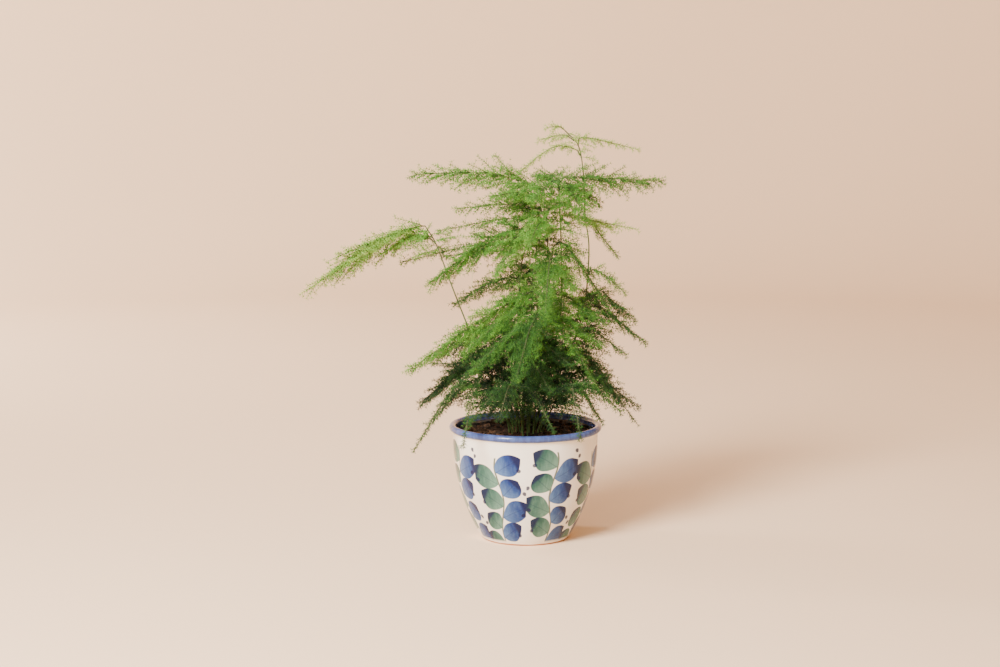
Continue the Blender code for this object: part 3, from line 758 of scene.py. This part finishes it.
# Each branch of a set: its step along the midrib, its side, and how far it rises or droops
BROAD_EXTRAS = ((0, 1, 0), (0.25, -1, 0.2), (0.5, 1, -0.4), (0.6, -1, -0.65), (0.8, 1, 0.65))
NARROW_EXTRAS = ((0, 1, 0), (0.3, -1, -0.15), (0.6, 1, -0.35), (0.15, 1, 0.12), (0.45, -1, 0.25))
SLIM_TIP = 0.7
SHORT_BRANCH = 11.0
LONGEST_TWIG, LONGEST_SLIM_TWIG = 14.0, 6.5
# A twig's length: its shortest, its share of the branch, and how much of that the tip loses
TWIG_SHORTEST, TWIG_SHARE, TWIG_TAPER = 2.6, 0.3, 0.78
OUTWARD = 0.6
GOLDEN_TURN = math.radians(137.5)
BUSH_MIDDLE = 8.0
BUSH_HALF = 36.0
NEEDLES = 4
NEEDLE_LEANS, NEEDLE_ROOTS = (46, 58), (0, 0.16)
TUFT_FLAT = 0.8
# What spreads and tufts lose towards a tip, what rising branches lose, and what gets lighter
TIP_LOSS, RISE_LOSS, TIP_SHADE, TWIG_SHADE = 0.3, 0.3, 0.08, 0.03

# The ages of wood, from foot to tip, and the shares of a route that stay bare at its foot
CANE_AGES, MIDRIB_AGES, BRANCH_AGES = (0.02, 0.24), (0.16, 0.36), (0.34, 0.44)
MIDRIB_BARE, BRANCH_BARE, TWIG_BARE = 0.12, 0.04, 0.1

# The ranges that branches, sprays, twigs and tufts are drawn from
BRANCH_SPREADS, BRANCH_RISES, BRANCH_LENGTHS = (0.85, 1.15), (-0.5, 0.15), (0.85, 1.12)
FILL_ROUNDNESS, FILL_LENGTHS = 0.75, (0.6, 1.0)
BRANCH_BOWS, BRANCH_DROOPS, BRANCH_TONES = (0.05, 0.22), (-0.16, 0.03), (-0.07, 0.07)
SPRAY_TURNS, SPRAY_RISES, SPRAY_TWISTS = (-0.4, 0.4), (-0.1, 0.3), (-0.7, 0.7)
SPRAY_DROOPS, SPRAY_LENGTHS = (-0.4, -0.1), (0.7, 1.1)
TWIG_ANGLES, TWIG_LIFTS, TWIG_LENGTHS = (30, 52), (-0.6, 0.6), (0.6, 1.15)
TUFT_SIZES, TUFT_SHADES = (0.75, 1.2), (-0.05, 0.05)


# A direction that no rod follows, and the room that a triangle gets on the piece's map
SKEW = (0.31, 0.17, 0.94)
MAP_ROOM, MAP_EDGE = 0.006, 0.002


class Growth:
    """A piece's points and triangles until its mesh is made, with each point's tone and age."""

    def __init__(self):
        self.points, self.triangles, self.tones, self.ages = [], [], [], []
        self.count = 0

    def add(self, points, triangles, tones, ages):
        self.points.append(points)
        self.triangles.append(triangles + self.count)
        self.tones.append(np.broadcast_to(tones, len(points)))
        self.ages.append(np.broadcast_to(ages, len(points)))
        self.count += len(points)

    def rod(self, route, thick, thin, sides, tone, ages):
        """A tapered rod along a route, with closed ends."""
        spine = np.array(route)
        ahead = np.gradient(spine, axis=0)
        ahead /= np.linalg.norm(ahead, axis=1)[:, None]
        first = np.cross(ahead, SKEW)
        first /= np.linalg.norm(first, axis=1)[:, None]
        second = np.cross(ahead, first)
        turns = np.arange(sides) * math.tau / sides
        radii = np.linspace(thick, thin, len(spine))[:, None, None]
        ring = first[:, None] * np.cos(turns)[:, None] + second[:, None] * np.sin(turns)[:, None]
        points = (spine[:, None] + radii * ring).reshape(-1, 3)
        here = np.arange((len(spine) - 1) * sides)
        beside = here - here % sides + (here + 1) % sides
        walls = np.concatenate([np.stack([here, beside, here + sides], 1),
                                np.stack([beside, beside + sides, here + sides], 1)])
        last = len(points) - sides
        fan = np.arange(1, sides - 1)
        caps = np.concatenate([np.stack([0 * fan, fan + 1, fan], 1),
                               np.stack([last + 0 * fan, last + fan, last + fan + 1], 1)])
        spread = np.repeat(np.linspace(*ages, len(spine)), sides)
        self.add(points, np.concatenate([walls, caps]), tone, spread)

    def stamp(self, pattern, places):
        """A copy of a pattern at each place: its points and triangles turned, scaled and toned."""
        if not len(places):
            return
        shape, triangles, ages = pattern
        spots, ahead, normal, sizes, turns, tones = (np.array(part) for part in zip(*places))
        ahead /= np.linalg.norm(ahead, axis=1)[:, None]
        side = np.cross(normal, ahead)
        side /= np.linalg.norm(side, axis=1)[:, None]
        normal = np.cross(ahead, side)
        cosine, sine = np.cos(turns)[:, None], np.sin(turns)[:, None]
        across = shape[:, 0] * cosine - shape[:, 1] * sine
        above = (shape[:, 0] * sine + shape[:, 1] * cosine) * TUFT_FLAT
        points = (spots[:, None] + across[:, :, None] * (side * sizes[:, :1])[:, None]
                  + above[:, :, None] * (normal * sizes[:, :1])[:, None]
                  + shape[None, :, 2, None] * (ahead * sizes[:, 1:])[:, None])
        shifts = np.arange(len(places))[:, None, None] * len(shape)
        self.add(points.reshape(-1, 3), (triangles + shifts).reshape(-1, 3),
                 np.repeat(tones, len(shape)), np.tile(ages, len(places)))

    def piece(self, name):
        """All of it as one mesh object, with its own map of tone and age."""
        points = np.concatenate(self.points) * MM
        triangles = np.concatenate(self.triangles)
        mesh = bpy.data.meshes.new(name)
        mesh.vertices.add(len(points))
        mesh.vertices.foreach_set("co", points.astype(np.float32).ravel())
        mesh.loops.add(triangles.size)
        mesh.loops.foreach_set("vertex_index", triangles.astype(np.int32).ravel())
        mesh.polygons.add(len(triangles))
        mesh.polygons.foreach_set("loop_start", np.arange(0, triangles.size, 3, dtype=np.int32))
        mesh.update(calc_edges=True)
        places = np.stack([np.concatenate(self.tones), np.concatenate(self.ages)], 1)[triangles]
        places[:, 1, 0] += MAP_ROOM
        places[:, 2, 0] -= MAP_ROOM
        places = places.clip(MAP_EDGE, 1 - MAP_EDGE)
        layer = mesh.uv_layers.new(name="OFBake")
        layer.uv.foreach_set("vector", places.astype(np.float32).ravel())
        mesh.shade_smooth()
        piece = bpy.data.objects.new(name, mesh)
        bpy.context.scene.collection.objects.link(piece)
        return piece


def pattern_of(piece, ages):
    """A modelled object as points, triangles and ages for stamping; the object is removed."""
    mesh = piece.data
    mesh.calc_loop_triangles()
    points = np.array([v.co for v in mesh.vertices])
    triangles = np.array([t.vertices for t in mesh.loop_triangles])
    bpy.data.objects.remove(piece)
    return points, triangles, ages(points)


def start_modelling():
    bpy.ops.object.select_all(action="DESELECT")


def select(*pieces):
    """Select only these objects, the first of them active."""
    start_modelling()
    for piece in pieces:
        piece.select_set(True)
    bpy.context.view_layer.objects.active = pieces[0]


def apply_place(piece):
    """Move an object's place, turn and scale into its mesh."""
    select(piece)
    bpy.ops.object.transform_apply(location=True, rotation=True, scale=True)


def model_needle(width):
    """One needle of unit length: a slim three-sided spike."""
    start_modelling()
    bpy.ops.mesh.primitive_cone_add(
        vertices=3, radius1=width / 2, radius2=0, depth=1, location=(0, 0, 0.5))
    needle = bpy.context.object
    apply_place(needle)
    return needle


def model_tuft(length, width):
    """A whorl of needles that lean out from the branch, joined into one pattern."""
    needles = []
    for k in range(NEEDLES):
        needle = model_needle(width / length)
        lean = math.radians(NEEDLE_LEANS[k % 2])
        needle.rotation_euler = (0, lean, math.tau * k / NEEDLES)
        needle.location = (0, 0, NEEDLE_ROOTS[k % 2])
        apply_place(needle)
        needles.append(needle)
    select(*needles)
    bpy.ops.object.join()
    return pattern_of(needles[0], lambda points: 0.5 + 0.5 * np.hypot(points[:, 0], points[:, 1]))


def model_twig():
    """A straight twig of unit length and unit radius, three-sided and tapered."""
    start_modelling()
    bpy.ops.mesh.primitive_cone_add(
        vertices=3, radius1=1, radius2=0.4, depth=1, location=(0, 0, 0.5))
    twig = bpy.context.object
    apply_place(twig)
    return pattern_of(twig, lambda points: 0.42 + 0.08 * points[:, 2])


class LeafyStem:
    """Grows one stem: its cane with its sprays, and its fronds with their branches and needles."""

    def __init__(self, stem, settings, tuft, twig):
        self.stem = stem
        self.tuft, self.twig = tuft, twig
        self.needle = settings.needle_length / MM
        self.tuft_gap = settings.tuft_gap / MM
        self.twig_gap = settings.twig_gap / MM
        self.growth = Growth()
        self.tufts, self.twigs = [], []

    def grow_cane(self, route):
        """The bare cane, and the short sprays that stand out from it on all sides."""
        self.growth.rod(route, *FINE_CANE, CANE_SIDES, 0.5, CANE_AGES)
        for number, sprays in enumerate(self.stem.sprays):
            spots = [spot for spot in route if sprays.low <= spot.z <= sprays.high]
            for k, spot in enumerate(spots):
                draw = random.Random(f"{self.stem.name} spray {number} {k}")
                turn = k * GOLDEN_TURN + draw.uniform(*SPRAY_TURNS)
                outward = Vector((spot.x - BUSH_MIDDLE, spot.y, 0)) / BUSH_HALF
                outward *= OUTWARD / max(1.0, outward.length)
                rise = draw.uniform(*SPRAY_RISES)
                away = Vector((math.cos(turn), math.sin(turn), rise)) + outward
                away.normalize()
                normal = Vector((0, 0, 1)) - away * away.z
                normal.rotate(Matrix.Rotation(draw.uniform(*SPRAY_TWISTS), 3, away))
                droop = Vector((0, 0, draw.uniform(*SPRAY_DROOPS)))
                length = sprays.reach * draw.uniform(*SPRAY_LENGTHS)
                self.branch(draw, spot, away, droop, length, normal.normalized(), sprays.tone)

    def branches(self, number, frond, midrib):
        """Each side branch: its draws, start, midrib's direction, own direction and length."""
        total = sum((b - a).length for a, b in zip(midrib, midrib[1:]))
        count = int(total / BRANCH_GAP)
        slim = frond.spread <= CLOSE_SPREAD
        extras = NARROW_EXTRAS if slim else BROAD_EXTRAS
        for k in range(count):
            for extra, (step, side, rise) in enumerate(extras):
                seed = f"{self.stem.name} {number} {k}"
                draw = random.Random(f"{seed} {extra}" if extra else seed)
                share = min(LAST_SHARE, (k + FIRST_BRANCH + step) / count)
                if extra and slim and share > SLIM_TIP:
                    continue
                spot, ahead = point_along(midrib, share)
                across = ahead.cross(Vector((0, 0, 1))).normalized()
                across *= side if k % 2 else -side
                across.rotate(Matrix.Rotation(math.radians(frond.tilt), 3, ahead))
                spread = frond.spread * draw.uniform(*BRANCH_SPREADS)
                turn = math.radians(spread * (1 - TIP_LOSS * share))
                away = ahead * math.cos(turn) + across * math.sin(turn)
                away.z += draw.uniform(*BRANCH_RISES) + rise
                length = frond.reach * branch_reach(share) * draw.uniform(*BRANCH_LENGTHS)
                if extra and not slim:
                    length = (frond.fill or frond.reach) * branch_reach(share) ** FILL_ROUNDNESS
                if extra:
                    length *= draw.uniform(*FILL_LENGTHS) * (1 - RISE_LOSS * abs(rise))
                yield draw, spot, ahead, away.normalized(), max(SHORTEST_BRANCH, length)

    def grow_frond(self, number, frond, midrib):
        self.growth.rod(midrib, MIDRIB_THICK, MIDRIB_THIN, MIDRIB_SIDES, frond.tone, MIDRIB_AGES)
        self.clothe(midrib, random.Random(f"{self.stem.name} {number} midrib"),
                    midrib[0].cross(midrib[-1]).normalized(), frond.tone, MIDRIB_BARE)
        longest_twig = LONGEST_TWIG if frond.spread > CLOSE_SPREAD else LONGEST_SLIM_TWIG
        for draw, spot, ahead, away, length in self.branches(number, frond, midrib):
            normal = ahead.cross(away).normalized()
            if normal.z < 0:
                normal.negate()
            bow = ahead * draw.uniform(*BRANCH_BOWS) + Vector((0, 0, draw.uniform(*BRANCH_DROOPS)))
            self.branch(draw, spot, away, bow, length, normal, frond.tone, longest_twig)

    def branch(self, draw, spot, away, bow, length, normal, tone, longest_twig=LONGEST_TWIG):
        """A slightly bowed side branch, its twigs and its tufts."""
        tone += draw.uniform(*BRANCH_TONES)
        steps = max(2, int(length / BRANCH_STEP))
        route = [spot + away * length * k / steps + bow * length * (k / steps) ** 2
                 for k in range(steps + 1)]
        self.growth.rod(route, BRANCH_THICK, BRANCH_THIN, BRANCH_SIDES, tone, BRANCH_AGES)
        self.clothe(route, draw, normal, tone, BRANCH_BARE)
        if length < SHORT_BRANCH:
            return
        count = int((length - SHORTEST_BRANCH) / self.twig_gap)
        for k in range(count):
            share = (k + 0.7) / count
            root, along = point_along(route, share)
            side = along.cross(normal).normalized() * (1 if k % 2 else -1)
            turn = math.radians(draw.uniform(*TWIG_ANGLES))
            way = along * math.cos(turn) + side * math.sin(turn)
            way += normal * draw.uniform(*TWIG_LIFTS)
            twig = TWIG_SHORTEST + TWIG_SHARE * length * (1 - TWIG_TAPER * share)
            twig = min(longest_twig, twig) * draw.uniform(*TWIG_LENGTHS)
            self.twigs.append((root, way, normal, (TWIG_RADIUS, twig), 0.0, tone))
            self.clothe([root, root + way * twig], draw, normal, tone + TWIG_SHADE, TWIG_BARE)

    def clothe(self, route, draw, normal, tone, bare):
        """Tufts of needles along a route, from its bare foot to its tip."""
        total = sum((b - a).length for a, b in zip(route, route[1:]))
        count = max(1, int(total * (1 - bare) / self.tuft_gap))
        for k in range(count):
            share = bare + (1 - bare) * (k + 1) / count
            spot, ahead = point_along(route, share)
            size = self.needle * draw.uniform(*TUFT_SIZES) * (1 - TIP_LOSS * share)
            shade = tone + TIP_SHADE * share + draw.uniform(*TUFT_SHADES)
            shade = min(0.97, max(0.03, shade))
            self.tufts.append((spot, ahead, normal, (size, size), draw.uniform(0, math.tau), shade))

    def piece(self):
        self.growth.stamp(self.twig, self.twigs)
        self.growth.stamp(self.tuft, self.tufts)
        return self.growth.piece("leafy_" + self.stem.name)


def turn_profile(name, profile, steps):
    """A turned piece: a circle extruded ring by ring along a profile in mm, its ends filled."""
    start_modelling()
    out, up = profile[0]
    bpy.ops.mesh.primitive_circle_add(vertices=steps, radius=out * MM, location=(0, 0, up * MM))
    piece = bpy.context.object
    piece.name = piece.data.name = name
    apply_place(piece)
    bpy.ops.object.mode_set(mode="EDIT")
    bpy.ops.mesh.select_mode(type="VERT")
    bpy.ops.mesh.select_all(action="SELECT")
    for (out, up), (next_out, next_up) in zip(profile, profile[1:]):
        bpy.ops.mesh.extrude_region_move(
            TRANSFORM_OT_translate={"value": (0, 0, (next_up - up) * MM)})
        bpy.ops.transform.resize(value=(next_out / out, next_out / out, 1),
                                 center_override=(0, 0, next_up * MM))
    bpy.ops.mesh.select_all(action="SELECT")
    bpy.ops.mesh.fill_holes(sides=0)
    bpy.ops.mesh.select_all(action="SELECT")
    bpy.ops.mesh.normals_make_consistent(inside=False)
    bpy.ops.object.mode_set(mode="OBJECT")
    return piece


def wall_radius(height, inset=0.0):
    """The pot's outer radius at a height between its foot and its shoulder, less an inset."""
    share = min(1.0, max(0.0, height / SHOULDER_HEIGHT))
    return FOOT_RADIUS + (SHOULDER_RADIUS - FOOT_RADIUS) * (1 - (1 - share) ** BELLY_POWER) - inset


def finish_piece(piece, material, slot, *replaced):
    """Give a piece its material, let it ride on the root, and hide what it stands for; the slot is
    not used.
    """
    piece.data.materials.append(material)
    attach(piece, "root")
    if replaced:
        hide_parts(*replaced)


class LACEFERN_OT_pot(bpy.types.Operator):
    """Add the glazed pot with its painted sprigs"""
    bl_idname = "lacefern.pot"
    bl_label = "Painted Pot"

    def execute(self, context):
        half = LIP_THICKNESS / 2
        lip_out, lip_up = LIP_RADIUS - half, POT_HEIGHT - half
        foot = [(FOOT_RADIUS - FOOT_RING - 2, FOOT_HOLLOW), (FOOT_RADIUS - FOOT_RING, FOOT_HOLLOW),
                (FOOT_RADIUS - FOOT_RING + 0.8, 0), (FOOT_RADIUS - FOOT_EDGE, 0),
                (FOOT_RADIUS - 0.35, 0.35), (FOOT_RADIUS, FOOT_EDGE)]
        heights = [SHOULDER_HEIGHT * k / WALL_STEPS for k in range(1, WALL_STEPS + 1)]
        wall = [(wall_radius(height), height) for height in heights]
        neck = [(SHOULDER_RADIUS + 0.35, SHOULDER_HEIGHT + 2.4),
                (SHOULDER_RADIUS + 1.2, lip_up - half * 0.9)]
        turns = [math.radians(turn) for turn in range(-45, 196, 15)]
        lip = [(lip_out + half * math.cos(turn), lip_up + half * math.sin(turn)) for turn in turns]
        inside = [(wall_radius(height, WALL), height) for height in INSIDE_HEIGHTS]
        pot = turn_profile("painted_pot", foot + wall + neck + lip + inside, TURN_STEPS)
        select(pot)
        bpy.ops.object.shade_smooth_by_angle(angle=math.radians(50))
        finish_piece(pot, glaze_finish(context.scene.lacefern_pot), "glazed_pot", "pot")
        return {"FINISHED"}


def soil_height(x, y):
    """The soil's height in mm at a place, with low mounds and hollows."""
    crumb = noise.noise(Vector((x, y, SOIL_TOP)) / SOIL_CRUMB)
    fine = noise.noise(Vector((x, y, 0)) / SOIL_GRIT)
    edge = (math.hypot(x, y) - SOIL_FLAT) / (wall_radius(SOIL_TOP, WALL) - SOIL_FLAT)
    edge = min(1.0, max(0.0, edge))
    return SOIL_TOP + SOIL_RELIEF * crumb + GRIT_RELIEF * fine + SOIL_EDGE_RISE * edge ** 2


def model_chips(draw, shapes):
    """A few bark chips of unit length, each a subdivided block pushed out of shape."""
    chips = []
    for k in range(shapes):
        start_modelling()
        bpy.ops.mesh.primitive_cube_add(size=1, location=(0, 0, 0))
        chip = bpy.context.object
        chip.scale = (1, draw.uniform(*CHIP_WIDTHS), draw.uniform(*CHIP_HEIGHTS))
        apply_place(chip)
        bpy.ops.object.mode_set(mode="EDIT")
        bpy.ops.mesh.select_all(action="SELECT")
        bpy.ops.mesh.subdivide(number_cuts=1)
        bpy.ops.object.mode_set(mode="OBJECT")
        for vertex in chip.data.vertices:
            push = noise.noise_vector(vertex.co * 2.7 + Vector((7 * k, 3, 1)))
            vertex.co = vertex.co * (0.86 + 0.2 * draw.random()) + push * 0.13
        chips.append(pattern_of(chip, lambda points: np.full(len(points), 0.5)))
    return chips


class LACEFERN_OT_soil(bpy.types.Operator):
    """Add the soil and the bark chips on it"""
    bl_idname = "lacefern.soil"
    bl_label = "Soil and Bark Chips"

    def execute(self, context):
        settings = context.scene.lacefern_soil
        edge = wall_radius(SOIL_TOP, WALL) + 0.2
        profile = [(edge, SOIL_TOP - SOIL_DEPTH)]
        profile += [(edge * (1 - k / SOIL_RINGS) ** 0.8, SOIL_TOP) for k in range(SOIL_RINGS)]
        soil = turn_profile("soil_bed", profile, SOIL_STEPS)
        for vertex in soil.data.vertices:
            x, y, z = vertex.co / MM
            if z > SOIL_TOP - 1:
                vertex.co.z = soil_height(x, y) * MM
        soil.data.shade_smooth()
        finish_piece(soil, earth_finish(settings), "soil", "soil")
        draw = random.Random("bark chips")
        shapes = model_chips(draw, CHIP_SHAPES)
        growth = Growth()
        scattered = [[] for _ in shapes]
        for _ in range(settings.chips):
            out, turn = (edge - 2) * math.sqrt(draw.random()), draw.uniform(0, math.tau)
            x, y = out * math.cos(turn), out * math.sin(turn)
            size = settings.chip_length / MM * draw.uniform(*CHIP_SIZES) ** 1.6 + 1.0
            up = Vector((draw.gauss(0, CHIP_TILT), draw.gauss(0, CHIP_TILT), 1)).normalized()
            spot = Vector((x, y, soil_height(x, y) + 0.12 * size))
            # Painted light and shade: chips on the left half, towards the key light, get a lighter
            # tone than those on the right.
            tone = min(0.98, max(0.02, draw.betavariate(*CHIP_TONES) + 0.18 * (x < 0)))
            scattered[draw.randrange(len(shapes))].append(
                (spot, up, Vector((math.cos(turn * 7), math.sin(turn * 7), 0)), (size, size),
                 draw.uniform(0, math.tau), tone))
        for shape, places in zip(shapes, scattered):
            growth.stamp(shape, places)
        chips = growth.piece("bark_chips")
        chips.data.shade_flat()
        finish_piece(chips, bark_finish(settings), "soil")
        return {"FINISHED"}


class LACEFERN_OT_stems(bpy.types.Operator):
    """Add the leafy stems, with every branch, twig and tuft of needles"""
    bl_idname = "lacefern.stems"
    bl_label = "Leafy Stems"

    def execute(self, context):
        settings = context.scene.lacefern_stems
        tuft = model_tuft(settings.needle_length / MM, settings.needle_width / MM)
        twig = model_twig()
        # Two copies of one foliage material; the dark one is for the stems whose dark tones are
        # painted shade.
        light, dark = foliage_finish("light foliage"), foliage_finish("dark foliage")
        space = Space()
        canes = [grow_cane(stem, space) for stem in STEMS]
        midribs = [[grow_midrib(stem, frond, cane, space) for frond in stem.fronds]
                   for stem, (_, cane) in zip(STEMS, canes)]
        for stem, (knots, _), ribs in zip(STEMS, canes, midribs):
            leafy = LeafyStem(stem, settings, tuft, twig)
            leafy.grow_cane(smooth_route(knots, FINE_STEP))
            for number, (frond, rib) in enumerate(zip(stem.fronds, ribs)):
                leafy.grow_frond(number, frond, smooth_route(rib, FINE_STEP))
            is_shaded = stem.name.startswith(SHADED_STEMS)
            slot = "dark_foliage" if is_shaded else "light_foliage"
            finish_piece(leafy.piece(), dark if is_shaded else light, slot, stem.name)
        return {"FINISHED"}


THREAD = ((-56, -34, 292), (-55.5, -34.5, 284), (-53.5, -35, 272), (-54, -34, 262),
          (-52.5, -34, 254))
THREAD_THICK, THREAD_THIN = 0.34, 0.22


class LACEFERN_OT_thread(bpy.types.Operator):
    """Add the dry thread that hangs from a frond"""
    bl_idname = "lacefern.thread"
    bl_label = "Dry Thread"

    def execute(self, context):
        growth = Growth()
        growth.rod(smooth_route(THREAD, 2), THREAD_THICK, THREAD_THIN, 4, 0.9, (0.4, 0.5))
        finish_piece(growth.piece("dry_thread"), thread_finish(), "light_foliage")
        return {"FINISHED"}


# The paper sweep, in mm, and the room round it
FLOOR_RADIUS, BEND_RADIUS, BACKDROP_RADIUS, BACKDROP_HEIGHT = 2400.0, 1200.0, 3600.0, 4200.0
SWEEP_STEPS = 96
ROOM_COLOUR, ROOM_STRENGTH = (1.0, 0.94, 0.88, 1), 0.27

# Each soft light: its name, place, aim, size in metres, the setting of its power, and its colour
LIGHTS = (("key light", (-1.05, -1.6, 1.3), (0, 0, 0.2), 0.9, "key_power", (1.0, 0.96, 0.9)),
          ("fill light", (-0.5, -2.2, 2.0), (0, 0, 0.25), 1.6, "fill_power", (1.0, 0.97, 0.93)),
          ("wash light", (-2.0, 0.9, 1.5), (-1.0, 3.2, 0.5), 1.4, "wash_power", (1.0, 0.93, 0.86)))

CAMERA_PLACE = (-0.026, -1.818, 0.440)
CAMERA_PITCH = 7.2
SENSOR_WIDTH = 36


def add_light(name, place, aim, size, power, colour):
    data = bpy.data.lights.new(name, "AREA")
    data.shape = "DISK"
    data.size = size
    data.energy = power
    data.color = colour
    light = bpy.data.objects.new(name, data)
    bpy.context.scene.collection.objects.link(light)
    light.location = place
    light.rotation_euler = (Vector(aim) - Vector(place)).to_track_quat("-Z", "Y").to_euler()


class LACEFERN_OT_stage(bpy.types.Operator):
    """Add the paper floor and backdrop, the lights and the camera"""
    bl_idname = "lacefern.stage"
    bl_label = "Studio Stage"

    def execute(self, context):
        settings = context.scene.lacefern_stage
        turns = [math.radians(turn) for turn in range(0, 91, 6)]
        sweep = [(FLOOR_RADIUS + BEND_RADIUS * math.sin(turn), BEND_RADIUS * (1 - math.cos(turn)))
                 for turn in turns]
        sweep.append((BACKDROP_RADIUS, BACKDROP_HEIGHT))
        paper = turn_profile("studio_paper", sweep, SWEEP_STEPS)
        select(paper)
        bpy.ops.object.mode_set(mode="EDIT")
        bpy.ops.mesh.select_mode(type="FACE")
        bpy.ops.mesh.select_all(action="DESELECT")
        bpy.ops.object.mode_set(mode="OBJECT")
        for face in paper.data.polygons:
            face.select = face.center.z / MM > BACKDROP_HEIGHT - 10
        bpy.ops.object.mode_set(mode="EDIT")
        bpy.ops.mesh.delete(type="FACE")
        bpy.ops.mesh.select_all(action="SELECT")
        bpy.ops.mesh.flip_normals()
        bpy.ops.object.mode_set(mode="OBJECT")
        paper.data.shade_smooth()
        paper.data.materials.append(paper_finish(settings))
        paper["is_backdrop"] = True
        for name, place, aim, size, power, colour in LIGHTS:
            add_light(name, place, aim, size, getattr(settings, power), colour)
        world = bpy.data.worlds.new("soft room")
        world.use_nodes = True
        background = world.node_tree.nodes["Background"]
        background.inputs["Color"].default_value = ROOM_COLOUR
        background.inputs["Strength"].default_value = ROOM_STRENGTH
        context.scene.world = world
        data = bpy.data.cameras.new("camera")
        data.lens = settings.focal_length
        data.sensor_width = SENSOR_WIDTH
        camera = bpy.data.objects.new("camera", data)
        context.scene.collection.objects.link(camera)
        camera.location = CAMERA_PLACE
        camera.rotation_euler = (math.radians(90 - CAMERA_PITCH), 0, 0)
        context.scene.camera = camera
        return {"FINISHED"}


OPERATORS = (LACEFERN_OT_pot, LACEFERN_OT_soil, LACEFERN_OT_stems, LACEFERN_OT_thread,
             LACEFERN_OT_stage)
SETTINGS = {"lacefern_pot": PotSettings, "lacefern_soil": SoilSettings,
            "lacefern_stems": FernSettings, "lacefern_stage": StageSettings}


class LACEFERN_PT_panel(bpy.types.Panel):
    bl_idname = "LACEFERN_PT_panel"
    bl_label = "Potted Lace Fern"
    bl_space_type = "VIEW_3D"
    bl_region_type = "UI"
    bl_category = "Lace Fern"

    def draw(self, context):
        for operator in OPERATORS:
            self.layout.operator(operator.bl_idname)
        for name, group in SETTINGS.items():
            box = self.layout.box()
            for setting in group.__annotations__:
                box.prop(getattr(context.scene, name), setting)


def register():
    for group in SETTINGS.values():
        bpy.utils.register_class(group)
    for name, group in SETTINGS.items():
        setattr(bpy.types.Scene, name, PointerProperty(type=group))
    for thing in (*OPERATORS, LACEFERN_PT_panel):
        bpy.utils.register_class(thing)


def unregister():
    for thing in reversed((*OPERATORS, LACEFERN_PT_panel)):
        bpy.utils.unregister_class(thing)
    for name in SETTINGS:
        delattr(bpy.types.Scene, name)
    for group in reversed(SETTINGS.values()):
        bpy.utils.unregister_class(group)


def main():
    register()
    for operator in OPERATORS:
        group, name = operator.bl_idname.split(".")
        getattr(getattr(bpy.ops, group), name)()
    sizes = {"cad": CAD_BOX, "visual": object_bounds()}
    {key: [list(corner) for corner in box] for key, box in sizes.items()}


if __name__ == "__main__":
    main()
